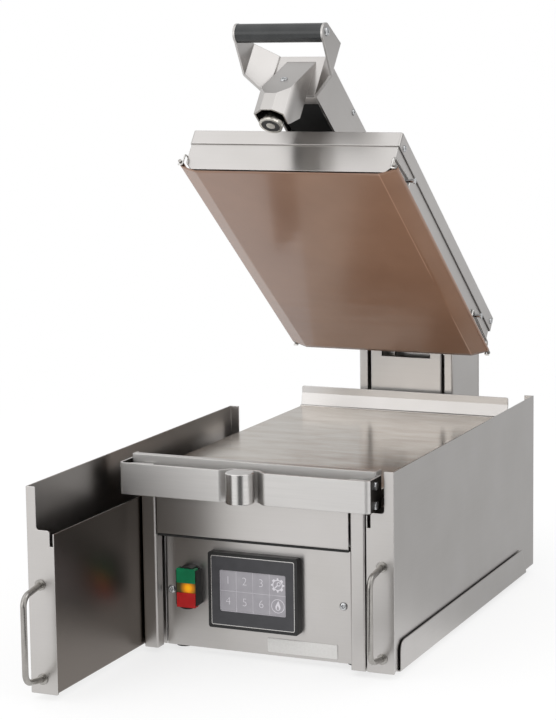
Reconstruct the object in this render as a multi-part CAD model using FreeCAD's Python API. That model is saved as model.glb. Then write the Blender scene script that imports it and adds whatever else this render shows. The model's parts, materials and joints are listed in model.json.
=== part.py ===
"""Countertop clamshell contact grill: hinged heated platen over a griddle, with pull-out grease trays."""
import FreeCAD
import Part
import math
import os

Vector = FreeCAD.Vector

# Corner style of a swept section that keeps each run straight up to the corner.
MITRED = 1

# Driving dimensions, in millimetres and degrees.
# X runs to the right, Y to the back, Z up from the table.

# Sheet metal
SHEET = 1.5
BEND = 1.0
COLUMN_SHEET = 2.0
BAR_SHEET = 3.0
ARM_SHEET = 3.0
HOOD_SHEET = 2.0
HOLE_CLEARANCE = 0.2
FACE_CLEARANCE = 0.5

# Feet and cabinet
FOOT_HEIGHT = 8.0
FOOT_RADIUS = 14.0
FOOT_TAPER = 2.0
FOOT_INSET_X = 34.0
FOOT_INSET_Y = 55.0
CABINET_WIDTH = 317.0
CABINET_DEPTH = 576.0
CABINET_HEIGHT = 219.5
POST_WIDTH = 20.5
POST_RETURN = 17.0
POST_EAR = 30.0
FLANGE = 14.0
FASCIA_HEIGHT = 63.5
FASCIA_GAP = 2.0
FASCIA_RETURN = 16.0
REAR_VENT_LENGTH = 60.0
REAR_VENT_HEIGHT = 4.0
REAR_VENT_PITCH = 12.0
REAR_VENT_COUNT = 6

# Control panel, touch panel and double push-button
PANEL_SETBACK = 24.0
PANEL_GAP = 1.6
PANEL_TUCK = 10.0
PANEL_FOLD = 8.0
PANEL_BRACKET_HEIGHT = 30.0
PANEL_BRACKET_REACH = 26.0
CONTROL_HEIGHT = 84.0
TOUCH_X = -4.4
TOUCH_WIDTH = 128.0
TOUCH_HEIGHT = 102.0
TOUCH_PROUD = 12.0
TOUCH_BODY_DEPTH = 30.0
TOUCH_RIM = 5.0
TOUCH_CORNER = 3.0
SCREEN_WIDTH = 95.0
SCREEN_HEIGHT = 56.0
SCREEN_RECESS = 1.0
SCREEN_THICKNESS = 2.0
SWITCH_GAP = 14.6
SWITCH_WIDTH = 30.0
SWITCH_HEIGHT = 58.0
SWITCH_PROUD = 18.0
SWITCH_CROWN = 6.0
SWITCH_BARREL_RADIUS = 11.0
SWITCH_BARREL_LENGTH = 34.0
BUTTON_WIDTH = 27.0
BUTTON_HEIGHT = 20.0
BUTTON_DEPTH = 10.0
BUTTON_PROUD = 1.0
BUTTON_TRAVEL = 4.0
BUTTON_CLEARANCE = 0.4
LENS_HEIGHT = 13.0

# Griddle, front lip and back splash
GRIDDLE_OVERHANG = 9.0
GRIDDLE_THICKNESS = 12.0
GRIDDLE_SETBACK = 5.5
GRIDDLE_REAR_SETBACK = 16.5
GRIDDLE_EDGE = 1.0
LIP_OVERHANG = 5.5
LIP_RISE = 28.5
LIP_SKIRT = 7.0
LIP_HEM = 11.0
LIP_RETURN = 18.0
SPLASH_RISE = 30.5
SPLASH_STRIP = 11.0
SPLASH_LEAN = 4.0
SPLASH_FOOT = 6.0
SPLASH_CORNER = 3.0

# Heaters and insulation
HEATER_RADIUS = 4.0
HEATER_COUNT = 6
HEATER_MARGIN = 45.0
LOWER_INSULATION = 30.0
RELAY_WIDTH = 45.0
RELAY_DEPTH = 58.0
RELAY_HEIGHT = 30.0
RELAY_GAP = 20.0
GLAND_RADIUS = 13.0
GLAND_BORE = 6.0
GLAND_LENGTH = 24.0

# Front bar and armature post
BAR_OVERHANG = 17.8
BAR_HEIGHT = 42.0
BAR_FORWARD = 27.8
BAR_RETURN = 14.0
BAR_BEND = 4.0
POCKET_MOUTH = 62.0
POCKET_FLOOR = 36.0
POCKET_DEPTH = 13.0
ARMATURE_RADIUS = 18.6
ARMATURE_HEIGHT = 40.0
ARMATURE_FORWARD = 31.5
ARMATURE_CHAMFER = 1.0
BAR_DROP = 19.3
BRACKET_SHEET = 2.0
BRACKET_REACH = 20.0
BOLT_RADIUS = 3.0
BOLT_HEAD_RADIUS = 5.5
BOLT_HEAD = 4.0
BOLT_SPACING = 25.0
BOLT_FORWARD = 11.0

# Side trays, their rails and handles
TRAY_WIDTH = 37.6
TRAY_REAR_OVERHANG = 18.0
TRAY_RISE = 30.5
TRAY_INNER_DROP = 15.5
TRAY_STRIP = 13.0
TRAY_STEP_DROP = 11.5
TRAY_CORNER = 4.0
TRAY_RELIEF_WIDTH = 6.0
TRAY_RELIEF_DEPTH = 20.0
TRAY_REAR_RETURN = 14.0
TRAY_SIDE_GAP = 0.4
TRAY_PULLED = 229.0
RAIL_GAP = 2.0
RAIL_LIP = 40.0
RAIL_INNER = 30.0
RAIL_SETBACK = 15.0
RAIL_REAR_SETBACK = 27.0
RAIL_CORNER = 14.0
RAIL_TAIL = 23.0
HANDLE_SPACING = 120.0
HANDLE_REACH = 42.0
HANDLE_RADIUS = 4.0
HANDLE_BEND = 14.0
HANDLE_LEAN = 6.0
HANDLE_CENTRE = 79.0
HANDLE_SHIFT = 2.0
HANDLE_COLLAR_RADIUS = 7.0
HANDLE_COLLAR = 2.0

# Rear column and hinge
COLUMN_WIDTH = 152.4
COLUMN_DEPTH = 122.0
COLUMN_RISE = 145.5
COLUMN_FLANGE = 13.5
COVER_GAP = 5.2
COVER_JOGGLE = 2.0
COVER_TAB = 9.0
COVER_RETURN = 8.0
SLOT_CLEARANCE = 3.5
SLOT_RISE = 81.5
CAP_REACH = 20.0
HINGE_SETBACK = 79.7
HINGE_RISE = 76.9
SHAFT_RADIUS = 10.0
RUNNING_FIT = 0.05
BEARING_SIZE = 50.0
BEARING_THICKNESS = 12.0
SLEEVE_RADIUS = 13.0
CARTRIDGE_RADIUS = 20.0
CARTRIDGE_GAP = 2.0
HUB_RADIUS = 25.0

# Head: lid, platen and release sheet, drawn closed and then opened
HEAD_OPEN_ANGLE = 38.0
HEAD_SETBACK = 41.0
CLOSED_GAP = 0.5
HEAD_HEIGHT = 65.0
PLATEN_SIDE_SETBACK = 24.5
PLATEN_REAR_SETBACK = 47.0
PLATEN_THICKNESS = 15.0
PLATEN_EDGE = 12.0
PLATEN_BEVEL = 7.0
HOUSING_GAP = 1.0
HOUSING_SIDE_GAP = 5.0
HOUSING_LIFT = 3.5
HOUSING_CUT = 10.0
LID_GAP = 4.5
LID_SIDE_GAP = 0.5
LID_HEIGHT = 21.0
LID_CORNER = 3.0
RELEASE_SHEET = 0.5
RELEASE_OVERHANG = 2.0
ROD_RADIUS = 2.5
ROD_GAP = 4.5
ROD_OVERHANG = 8.0
ROD_RISE = 10.0
HEM_CLEARANCE = 0.1
STUD_RADIUS = 2.5
STUD_HEAD_RADIUS = 4.0
STUD_HEAD = 2.0
STUD_RISE = 24.0
STUD_FRONT_SETBACK = 50.0
STUD_REAR_SETBACK = 74.0
CLIP_RADIUS = 1.25
CLIP_CLEARANCE = 0.5
CLIP_HOOK = 6.0

# Head: arm, grip and electromagnet
ARM_WIDTH = 72.0
ARM_GAP = 27.5
ARM_HEIGHT = 66.0
ARM_OVERHANG = 40.0
ARM_TAIL_SETBACK = 54.7
WING_OUT = 28.0
WING_TOE_RISE = 14.5
GRIP_RADIUS = 12.5
GRIP_FORWARD = 117.0
GRIP_DROP = 19.5
GRIP_END_RADIUS = 13.0
CARRIER_LENGTH = 60.0
CARRIER_HEIGHT = 62.0
CARRIER_SETBACK = 90.0
CAP_FLANGE = 16.0
HOOD_WIDTH = 42.0
HOOD_TOP_DROP = 8.5
HOOD_REACH = 58.0
HOOD_FACE_DROP = 93.0
HOOD_SKIRT = 26.0
HOOD_MOUTH = 33.0
HOOD_HEEL_RISE = 27.0
HOOD_CHAMFER_SIDE = 12.5
HOOD_CHAMFER_FRONT = 10.0
SHELF_REACH = 12.0
MAGNET_RADIUS = 15.5
MAGNET_HEIGHT = 26.0
MAGNET_WALL = 3.0
MAGNET_CORE_RADIUS = 6.0
MAGNET_GAP = 0.3

# Places worked out from the driving dimensions
HALF = CABINET_WIDTH / 2
RAIL_FACE = HALF + SHEET
TRAY_INNER = RAIL_FACE + TRAY_SIDE_GAP
TRAY_OUTER = TRAY_INNER + TRAY_WIDTH
LIP_INNER = TRAY_OUTER + RAIL_GAP
HANDLE_OUT = HANDLE_REACH + HANDLE_RADIUS
COLUMN_REAR_OFFSET = CABINET_DEPTH + COLUMN_DEPTH + SHEET
FRONT = -(COLUMN_REAR_OFFSET - TRAY_PULLED - HANDLE_OUT) / 2
REAR = FRONT + CABINET_DEPTH
FLOOR = FOOT_HEIGHT
CABINET_TOP = FLOOR + CABINET_HEIGHT
GRIDDLE_TOP = CABINET_TOP + GRIDDLE_THICKNESS
GRIDDLE_FRONT = FRONT + GRIDDLE_SETBACK
GRIDDLE_REAR = REAR - GRIDDLE_REAR_SETBACK
GRIDDLE_WIDTH = CABINET_WIDTH + 2 * GRIDDLE_OVERHANG
LIP_WIDTH = GRIDDLE_WIDTH + 2 * LIP_OVERHANG
PANEL_RIGHT = HALF - POST_WIDTH - PANEL_GAP
PANEL_LEFT = -PANEL_RIGHT
PANEL_TOP = CABINET_TOP - FASCIA_HEIGHT + PANEL_TUCK
SWITCH_X = TOUCH_X - TOUCH_WIDTH / 2 - SWITCH_GAP - SWITCH_WIDTH / 2
PANEL_FRONT = FRONT + PANEL_SETBACK
PANEL_BACK = PANEL_FRONT + SHEET
CONTROL_Z = FLOOR + CONTROL_HEIGHT
TRAY_LENGTH = CABINET_DEPTH + TRAY_REAR_OVERHANG
TRAY_TOP = GRIDDLE_TOP + TRAY_RISE
TRAY_INNER_TOP = CABINET_TOP - TRAY_INNER_DROP
TRAY_STEP_TOP = CABINET_TOP - TRAY_STEP_DROP
BAR_WIDTH = CABINET_WIDTH + 2 * BAR_OVERHANG
ARMATURE_Y = FRONT - ARMATURE_FORWARD
BAR_BOTTOM = GRIDDLE_TOP - BAR_DROP
BAR_TOP = BAR_BOTTOM + BAR_HEIGHT
BAR_FRONT = FRONT - BAR_FORWARD
ARMATURE_TOP = BAR_TOP + MAGNET_GAP
POCKET_FACE = BAR_FRONT + POCKET_DEPTH
COLUMN_TOP = GRIDDLE_TOP + COLUMN_RISE
COVER_WIDTH = COLUMN_WIDTH - 2 * (COLUMN_FLANGE + COVER_GAP)
SLOT_WIDTH = ARM_WIDTH + 2 * SLOT_CLEARANCE
HINGE_Y = REAR + HINGE_SETBACK
HINGE_Z = GRIDDLE_TOP + HINGE_RISE
COLUMN_INNER = COLUMN_WIDTH / 2 - COLUMN_SHEET
PLATEN_BOTTOM = GRIDDLE_TOP + CLOSED_GAP + RELEASE_SHEET
PLATEN_TOP = PLATEN_BOTTOM + PLATEN_THICKNESS
LID_TOP = PLATEN_BOTTOM + HEAD_HEIGHT
LID_BOTTOM = LID_TOP - LID_HEIGHT
HEAD_FRONT = FRONT + HEAD_SETBACK
HOUSING_FRONT = HEAD_FRONT + SHEET + FACE_CLEARANCE
PLATEN_FRONT = HOUSING_FRONT + SHEET + HOUSING_GAP
PLATEN_REAR = GRIDDLE_REAR - PLATEN_REAR_SETBACK
PLATEN_WIDTH = GRIDDLE_WIDTH - 2 * PLATEN_SIDE_SETBACK
HOUSING_REAR = PLATEN_REAR + HOUSING_GAP + SHEET
HOUSING_WIDTH = PLATEN_WIDTH + 2 * (HOUSING_SIDE_GAP + SHEET)
LID_WIDTH = HOUSING_WIDTH + 2 * (LID_SIDE_GAP + SHEET)
LID_REAR = HOUSING_REAR + LID_GAP + SHEET
RELEASE_FRONT = HOUSING_FRONT - RELEASE_OVERHANG
RELEASE_REAR = HOUSING_REAR + RELEASE_OVERHANG
ROD_SPACING = HOUSING_WIDTH + 2 * ROD_GAP
ARM_BOTTOM = LID_TOP + ARM_GAP
ARM_TOP = ARM_BOTTOM + ARM_HEIGHT
ARM_FRONT = HEAD_FRONT - ARM_OVERHANG
ARM_TAIL = HINGE_Y - ARM_TAIL_SETBACK
ARM_INNER = ARM_WIDTH / 2 - ARM_SHEET
GRIP_Y = HEAD_FRONT - GRIP_FORWARD
GRIP_Z = ARM_TOP - GRIP_DROP
MAGNET_Y = ARMATURE_Y
MAGNET_FACE = ARMATURE_TOP + MAGNET_GAP
MAGNET_TOP = MAGNET_FACE + MAGNET_HEIGHT


def box(x0, x1, y0, y1, z0, z1):
    """Box between two corners."""
    return Part.makeBox(x1 - x0, y1 - y0, z1 - z0, Vector(x0, y0, z0))


def rod(radius, start, end):
    """Cylinder between two points."""
    axis = end - start
    return Part.makeCylinder(radius, axis.Length, start, axis)


def ring(outer, inner, start, end):
    """Tube between two points."""
    return rod(outer, start, end).cut(rod(inner, start, end))


def fused(solids):
    """One solid out of touching solids."""
    return solids[0].multiFuse(solids[1:]).removeSplitter()


def mirrored(shape):
    """The same piece on the other side of the machine."""
    return shape.mirror(Vector(0, 0, 0), Vector(1, 0, 0))


def sided(shape, side_sign):
    """A piece drawn on the right, for the right (+1) or the left (-1)."""
    return shape if side_sign > 0 else mirrored(shape)


def moved(shape, x=0.0, y=0.0, z=0.0):
    """A copy of the shape at another place."""
    copy = shape.copy()
    copy.translate(Vector(x, y, z))
    return copy


def opened(shape):
    """Swing a piece of the closed head up to the open stop."""
    copy = shape.copy()
    copy.rotate(Vector(0, HINGE_Y, HINGE_Z), Vector(1, 0, 0), -HEAD_OPEN_ANGLE)
    return copy


def fillet_arc(before, corner, after, radius):
    """Tangent points and middle of the arc that rounds a corner."""
    back = (before - corner).normalize()
    ahead = (after - corner).normalize()
    half = back.getAngle(ahead) / 2
    reach = radius / math.tan(half)
    middle = (back + ahead).normalize()
    centre = corner + middle * (radius / math.sin(half))
    return corner + back * reach, centre - middle * radius, corner + ahead * reach


def outline(points, radii):
    """Closed wire through the points, each corner rounded by its radius."""
    count = len(points)
    corners = []
    for i in range(count):
        if radii[i] > 0:
            corners.append(fillet_arc(points[i - 1], points[i], points[(i + 1) % count], radii[i]))
        else:
            corners.append((points[i], None, points[i]))
    edges = []
    for i in range(count):
        start, middle, end = corners[i]
        if middle is not None:
            edges.append(Part.Arc(start, middle, end).toShape())
        target = corners[(i + 1) % count][0]
        if end.distanceToPoint(target) > 1e-6:
            edges.append(Part.LineSegment(end, target).toShape())
    return Part.Wire(edges)


def plan(points, z0, z1, radii=None):
    """Outline in X and Y, raised from z0 to z1."""
    corners = [Vector(x, y, z0) for x, y in points]
    face = Part.Face(outline(corners, radii or [0] * len(corners)))
    return face.extrude(Vector(0, 0, z1 - z0))


def side(points, x0, x1, radii=None):
    """Outline in Y and Z, drawn out from x0 to x1."""
    corners = [Vector(x0, y, z) for y, z in points]
    face = Part.Face(outline(corners, radii or [0] * len(corners)))
    return face.extrude(Vector(x1 - x0, 0, 0))


def front(points, y0, y1, radii=None):
    """Outline in X and Z, drawn back from y0 to y1."""
    corners = [Vector(x, y0, z) for x, z in points]
    face = Part.Face(outline(corners, radii or [0] * len(corners)))
    return face.extrude(Vector(0, y1 - y0, 0))


def bent(path, sheet, bend):
    """Outline of a folded sheet that lies to the right of the path, which its outer face follows."""
    path = [Vector(u, v, 0) for u, v in path]
    runs = [(b - a).normalize() for a, b in zip(path, path[1:])]
    far = []
    inner_turn = []
    for i, point in enumerate(path):
        before = runs[max(i - 1, 0)]
        after = runs[min(i, len(runs) - 1)]
        normal = Vector(before.y, -before.x, 0) + Vector(after.y, -after.x, 0)
        normal.normalize()
        lean = normal.dot(Vector(after.y, -after.x, 0))
        far.append(point + normal * (sheet / lean))
        inner_turn.append(before.cross(after).z)
    near_radii = [0 if abs(t) < 1e-9 else (bend if t > 0 else bend + sheet) for t in inner_turn]
    far_radii = [0 if abs(t) < 1e-9 else (bend + sheet if t > 0 else bend) for t in inner_turn]
    points = [(p.x, p.y) for p in path + far[::-1]]
    return points, near_radii + far_radii[::-1]


def bent_plan(path, sheet, bend, z0, z1):
    """Folded sheet seen from above."""
    points, radii = bent(path, sheet, bend)
    return plan(points, z0, z1, radii)


def bent_side(path, sheet, bend, x0, x1):
    """Folded sheet seen from the side."""
    points, radii = bent(path, sheet, bend)
    return side(points, x0, x1, radii)


def bent_front(path, sheet, bend, y0, y1):
    """Folded sheet seen from the front."""
    points, radii = bent(path, sheet, bend)
    return front(points, y0, y1, radii)


def wire_form(points, radius, bend):
    """Round wire or rod along straight runs joined by tangent arcs."""
    edges = []
    start = points[0]
    for before, corner, after in zip(points, points[1:], points[2:]):
        arc_start, arc_middle, arc_end = fillet_arc(before, corner, after, bend)
        edges.append(Part.LineSegment(start, arc_start).toShape())
        edges.append(Part.Arc(arc_start, arc_middle, arc_end).toShape())
        start = arc_end
    edges.append(Part.LineSegment(start, points[-1]).toShape())
    spine = Part.Wire(edges)
    section = Part.Wire(Part.makeCircle(radius, points[0], points[1] - points[0]))
    return spine.makePipeShell([section], True, False)


def hexagon(radius, start, length):
    """Hexagonal prism along X, for a bolt head or nut."""
    corners = []
    for i in range(6):
        angle = math.radians(60 * i)
        corners.append((start.y + radius * math.cos(angle), start.z + radius * math.sin(angle)))
    return side(corners, start.x, start.x + length)


def feet():
    """Four tapered rubber feet under the bottom panel."""
    solids = []
    for x in (HALF - FOOT_INSET_X, FOOT_INSET_X - HALF):
        for y in (FRONT + FOOT_INSET_Y, REAR - FOOT_INSET_Y):
            base = Vector(x, y, 0)
            solids.append(Part.makeCone(FOOT_RADIUS - FOOT_TAPER, FOOT_RADIUS, FOOT_HEIGHT, base))
    return Part.Compound(solids)


def bottom_panel():
    """Floor of the cabinet, its long edges turned up against the side panels."""
    edge = HALF - SHEET
    path = [(edge, FLOOR + FLANGE), (edge, FLOOR), (-edge, FLOOR), (-edge, FLOOR + FLANGE)]
    floor_back = REAR - FLANGE - FACE_CLEARANCE - SHEET
    return bent_front(path, SHEET, BEND, PANEL_BACK + PANEL_FOLD, floor_back)


def side_panel(side_sign):
    """Side wall whose front edge is folded twice to make the corner post, with an ear for the bar."""
    post_edge = HALF - POST_WIDTH
    path = [(HALF, REAR), (HALF, FRONT), (post_edge, FRONT), (post_edge, FRONT + POST_RETURN)]
    wall = bent_plan(path, SHEET, BEND, FLOOR, CABINET_TOP)
    ear = box(post_edge + SHEET + BEND, HALF - SHEET - BEND, FRONT, FRONT + SHEET, CABINET_TOP,
              CABINET_TOP + POST_EAR)
    shelf_back = REAR - FLANGE - SHEET - FACE_CLEARANCE
    shelf = box(HALF - FLANGE, HALF - SHEET, FRONT + POST_RETURN + FLANGE, shelf_back,
                CABINET_TOP - SHEET, CABINET_TOP)
    return sided(fused([wall, ear, shelf]), side_sign)


def rear_panel():
    """Back wall with turned-in edges, cooling slots and the hole for the cable gland."""
    edge = HALF - SHEET
    path = [(-edge, REAR - FLANGE), (-edge, REAR), (edge, REAR), (edge, REAR - FLANGE)]
    panel = bent_plan(path, SHEET, BEND, FLOOR, CABINET_TOP - SHEET)
    vent_x = COLUMN_WIDTH / 2 + FLANGE
    for i in range(REAR_VENT_COUNT):
        z = CABINET_TOP - FLANGE - SHEET - (i + 1) * REAR_VENT_PITCH
        slot = box(vent_x, vent_x + REAR_VENT_LENGTH, REAR - SHEET, REAR, z, z + REAR_VENT_HEIGHT)
        panel = panel.cut(slot).cut(mirrored(slot))
    hole = rod(GLAND_RADIUS - SHEET + HOLE_CLEARANCE, gland_point() - Vector(0, SHEET, 0), gland_point())
    return panel.cut(hole)


def gland_point():
    """Where the cable gland sits on the outside of the back wall."""
    return Vector(-(COLUMN_WIDTH / 2 + HALF) / 2, REAR, FLOOR + 3 * GLAND_RADIUS)


def cable_gland():
    """Strain relief for the supply cord: dome outside, nut inside, open bore."""
    point = gland_point()
    neck_end = point - Vector(0, SHEET, 0)
    nut_end = neck_end - Vector(0, GLAND_LENGTH / 3, 0)
    flange_end = point + Vector(0, GLAND_LENGTH / 3, 0)
    dome_height = GLAND_LENGTH * 2 / 3
    dome = Part.makeCone(GLAND_RADIUS, GLAND_BORE + SHEET, dome_height, flange_end, Vector(0, 1, 0))
    solids = [
        rod(GLAND_RADIUS, point, flange_end),
        dome,
        rod(GLAND_RADIUS - SHEET, neck_end, point),
        rod(GLAND_RADIUS, nut_end, neck_end),
    ]
    bore = rod(GLAND_BORE, nut_end, flange_end + Vector(0, dome_height, 0))
    return fused(solids).cut(bore)


def front_fascia():
    """Plain front strip above the control panel, folded back at the top and bottom."""
    edge = HALF - POST_WIDTH - FASCIA_GAP
    bottom = CABINET_TOP - FASCIA_HEIGHT
    back = FRONT + FASCIA_RETURN
    path = [(back, bottom), (FRONT, bottom), (FRONT, CABINET_TOP), (back, CABINET_TOP)]
    return bent_side(path, SHEET, BEND, -edge, edge)


def control_panel():
    """Set-back front panel with openings for the touch panel and the push-button barrel."""
    back = PANEL_BACK + PANEL_FOLD
    path = [(PANEL_RIGHT, back), (PANEL_RIGHT, PANEL_FRONT), (PANEL_LEFT, PANEL_FRONT), (PANEL_LEFT, back)]
    panel = bent_plan(path, SHEET, BEND, FLOOR, PANEL_TOP)
    body_x = TOUCH_WIDTH / 2 - TOUCH_RIM + HOLE_CLEARANCE
    body_z = TOUCH_HEIGHT / 2 - TOUCH_RIM + HOLE_CLEARANCE
    window = box(TOUCH_X - body_x, TOUCH_X + body_x, PANEL_FRONT, PANEL_BACK,
                 CONTROL_Z - body_z, CONTROL_Z + body_z)
    hole = rod(SWITCH_BARREL_RADIUS + HOLE_CLEARANCE, Vector(SWITCH_X, PANEL_FRONT, CONTROL_Z),
               Vector(SWITCH_X, PANEL_BACK, CONTROL_Z))
    return panel.cut(window).cut(hole)


def panel_brackets():
    """Two tabs on the side panels that the control panel is screwed to."""
    y0 = PANEL_BACK + PANEL_FOLD
    z0 = CONTROL_Z - PANEL_BRACKET_HEIGHT / 2
    z1 = CONTROL_Z + PANEL_BRACKET_HEIGHT / 2
    left_edge = PANEL_LEFT + PANEL_BRACKET_REACH
    right_edge = PANEL_RIGHT - PANEL_BRACKET_REACH
    left = bent_plan([(left_edge, y0), (SHEET - HALF, y0), (SHEET - HALF, y0 + FLANGE)],
                     BRACKET_SHEET, BEND, z0, z1)
    right = bent_plan([(HALF - SHEET, y0 + FLANGE), (HALF - SHEET, y0), (right_edge, y0)],
                      BRACKET_SHEET, BEND, z0, z1)
    return Part.Compound([left, right])


def rounded_front(width, height, corner, centre_x, centre_z, y0, y1):
    """Plate with rounded corners facing the front."""
    x0 = centre_x - width / 2
    x1 = centre_x + width / 2
    z0 = centre_z - height / 2
    z1 = centre_z + height / 2
    return front([(x0, z0), (x1, z0), (x1, z1), (x0, z1)], y0, y1, [corner] * 4)


def touch_panel_housing():
    """Bezel proud of the panel and the body behind it, with a shallow window for the screen."""
    face = PANEL_FRONT - TOUCH_PROUD
    bezel = rounded_front(TOUCH_WIDTH, TOUCH_HEIGHT, TOUCH_CORNER, TOUCH_X, CONTROL_Z, face, PANEL_FRONT)
    body = rounded_front(TOUCH_WIDTH - 2 * TOUCH_RIM, TOUCH_HEIGHT - 2 * TOUCH_RIM, TOUCH_CORNER,
                         TOUCH_X, CONTROL_Z, PANEL_FRONT, PANEL_FRONT + TOUCH_BODY_DEPTH)
    window = rounded_front(SCREEN_WIDTH, SCREEN_HEIGHT, TOUCH_CORNER, TOUCH_X, CONTROL_Z,
                           face, face + SCREEN_RECESS + SCREEN_THICKNESS)
    return fused([bezel, body]).cut(window)


def touch_panel_screen():
    """Glass of the touch panel, sunk in its window."""
    face = PANEL_FRONT - TOUCH_PROUD + SCREEN_RECESS
    return rounded_front(SCREEN_WIDTH, SCREEN_HEIGHT, TOUCH_CORNER, TOUCH_X, CONTROL_Z,
                         face, face + SCREEN_THICKNESS)


def button_centre(step):
    """Height of the upper (+1) or lower (-1) push-button."""
    return CONTROL_Z + step * (LENS_HEIGHT + BUTTON_HEIGHT) / 2


def switch_body():
    """Crowned head of the double push-button with its well, and the barrel through the panel."""
    face = PANEL_FRONT - SWITCH_PROUD
    half_width = SWITCH_WIDTH / 2
    half_height = SWITCH_HEIGHT / 2
    shoulder = half_height - SWITCH_CROWN
    top = Part.Arc(Vector(SWITCH_X + half_width, face, CONTROL_Z + shoulder),
                   Vector(SWITCH_X, face, CONTROL_Z + half_height),
                   Vector(SWITCH_X - half_width, face, CONTROL_Z + shoulder)).toShape()
    bottom = Part.Arc(Vector(SWITCH_X - half_width, face, CONTROL_Z - shoulder),
                      Vector(SWITCH_X, face, CONTROL_Z - half_height),
                      Vector(SWITCH_X + half_width, face, CONTROL_Z - shoulder)).toShape()
    left = Part.LineSegment(top.Vertexes[-1].Point, bottom.Vertexes[0].Point).toShape()
    right = Part.LineSegment(bottom.Vertexes[-1].Point, top.Vertexes[0].Point).toShape()
    head = Part.Face(Part.Wire([top, left, bottom, right])).extrude(Vector(0, SWITCH_PROUD, 0))
    well_height = LENS_HEIGHT + 2 * BUTTON_HEIGHT + 2 * BUTTON_CLEARANCE
    well_depth = BUTTON_DEPTH + BUTTON_TRAVEL
    well = rounded_front(BUTTON_WIDTH + 2 * BUTTON_CLEARANCE, well_height, SHEET, SWITCH_X, CONTROL_Z,
                         face, face + well_depth)
    barrel = rod(SWITCH_BARREL_RADIUS, Vector(SWITCH_X, PANEL_FRONT, CONTROL_Z),
                 Vector(SWITCH_X, PANEL_FRONT + SWITCH_BARREL_LENGTH, CONTROL_Z))
    return fused([head, barrel]).cut(well)


def push_button(step):
    """One sliding button cap of the double push-button."""
    face = PANEL_FRONT - SWITCH_PROUD - BUTTON_PROUD
    height = BUTTON_HEIGHT - BUTTON_CLEARANCE
    return rounded_front(BUTTON_WIDTH, height, SHEET / 2, SWITCH_X, button_centre(step),
                         face, face + BUTTON_DEPTH)


def pilot_lens():
    """Fixed indicator lens between the two buttons, standing on the floor of the well."""
    face = PANEL_FRONT - SWITCH_PROUD
    height = LENS_HEIGHT - BUTTON_CLEARANCE
    return rounded_front(BUTTON_WIDTH, height, SHEET / 2, SWITCH_X, CONTROL_Z,
                         face, face + BUTTON_DEPTH + BUTTON_TRAVEL)


def griddle_plate():
    """Ground steel cooking plate on the cabinet, overhanging the trays."""
    half_width = GRIDDLE_WIDTH / 2
    plate = box(-half_width, half_width, GRIDDLE_FRONT, GRIDDLE_REAR, CABINET_TOP, GRIDDLE_TOP)
    long_edges = [e for e in plate.Edges if e.BoundBox.YLength > GRIDDLE_THICKNESS]
    top_edges = [e for e in long_edges if e.BoundBox.ZMin > CABINET_TOP + GRIDDLE_EDGE]
    return plate.makeChamfer(GRIDDLE_EDGE, top_edges)


def front_lip():
    """Upturned front edge with a turned-back hem and short returns at both ends."""
    half_width = LIP_WIDTH / 2
    face = GRIDDLE_FRONT - SHEET
    path = [(half_width, face + LIP_RETURN), (half_width, face), (-half_width, face),
            (-half_width, face + LIP_RETURN)]
    top = GRIDDLE_TOP + LIP_RISE
    wall = bent_plan(path, SHEET, BEND, GRIDDLE_TOP - LIP_SKIRT, top)
    hem = box(SHEET - half_width, half_width - SHEET, face + SHEET, face + LIP_HEM, top - SHEET, top)
    return fused([wall, hem])


def back_splash():
    """Guard at the back of the griddle: foot, face leaning back and upright strip with rounded corners."""
    half_width = GRIDDLE_WIDTH / 2
    top = GRIDDLE_TOP + SPLASH_RISE
    lean_top = top - SPLASH_STRIP
    back = GRIDDLE_REAR + GRIDDLE_SETBACK
    toe = back - SPLASH_LEAN
    path = [(back, top), (back, lean_top), (toe, GRIDDLE_TOP), (toe - SPLASH_FOOT, GRIDDLE_TOP)]
    guard = bent_side(path, SHEET, BEND, -half_width, half_width)
    corners = [(-half_width, GRIDDLE_TOP), (half_width, GRIDDLE_TOP), (half_width, top), (-half_width, top)]
    shape = front(corners, toe - SPLASH_FOOT - SHEET, back + SHEET, [0, 0, SPLASH_CORNER, SPLASH_CORNER])
    return guard.common(shape)


def heaters(width, y0, y1, z):
    """Row of straight tubular elements across a plate."""
    pitch = width / HEATER_COUNT
    first = -pitch * (HEATER_COUNT - 1) / 2
    tubes = []
    for i in range(HEATER_COUNT):
        x = first + i * pitch
        tubes.append(rod(HEATER_RADIUS, Vector(x, y0, z), Vector(x, y1, z)))
    return Part.Compound(tubes)


def lower_heating_elements():
    """Elements lying against the underside of the griddle."""
    return heaters(CABINET_WIDTH - 2 * FLANGE, GRIDDLE_FRONT + HEATER_MARGIN, GRIDDLE_REAR - HEATER_MARGIN,
                   CABINET_TOP - HEATER_RADIUS)


def lower_insulation():
    """Mineral-wool board that presses the elements against the griddle."""
    half_width = HALF - 2 * FLANGE
    top = CABINET_TOP - 2 * HEATER_RADIUS
    return box(-half_width, half_width, FRONT + HEATER_MARGIN, GRIDDLE_REAR - HEATER_MARGIN / 2,
               top - LOWER_INSULATION, top)


def insulation_shelf():
    """Folded shelf between the side panels that carries the insulation."""
    edge = HALF - SHEET
    top = CABINET_TOP - 2 * HEATER_RADIUS - LOWER_INSULATION
    path = [(-edge, top - FLANGE), (-edge, top), (edge, top), (edge, top - FLANGE)]
    return bent_front(path, SHEET, BEND, FRONT + HEATER_MARGIN, GRIDDLE_REAR - HEATER_MARGIN)


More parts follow.
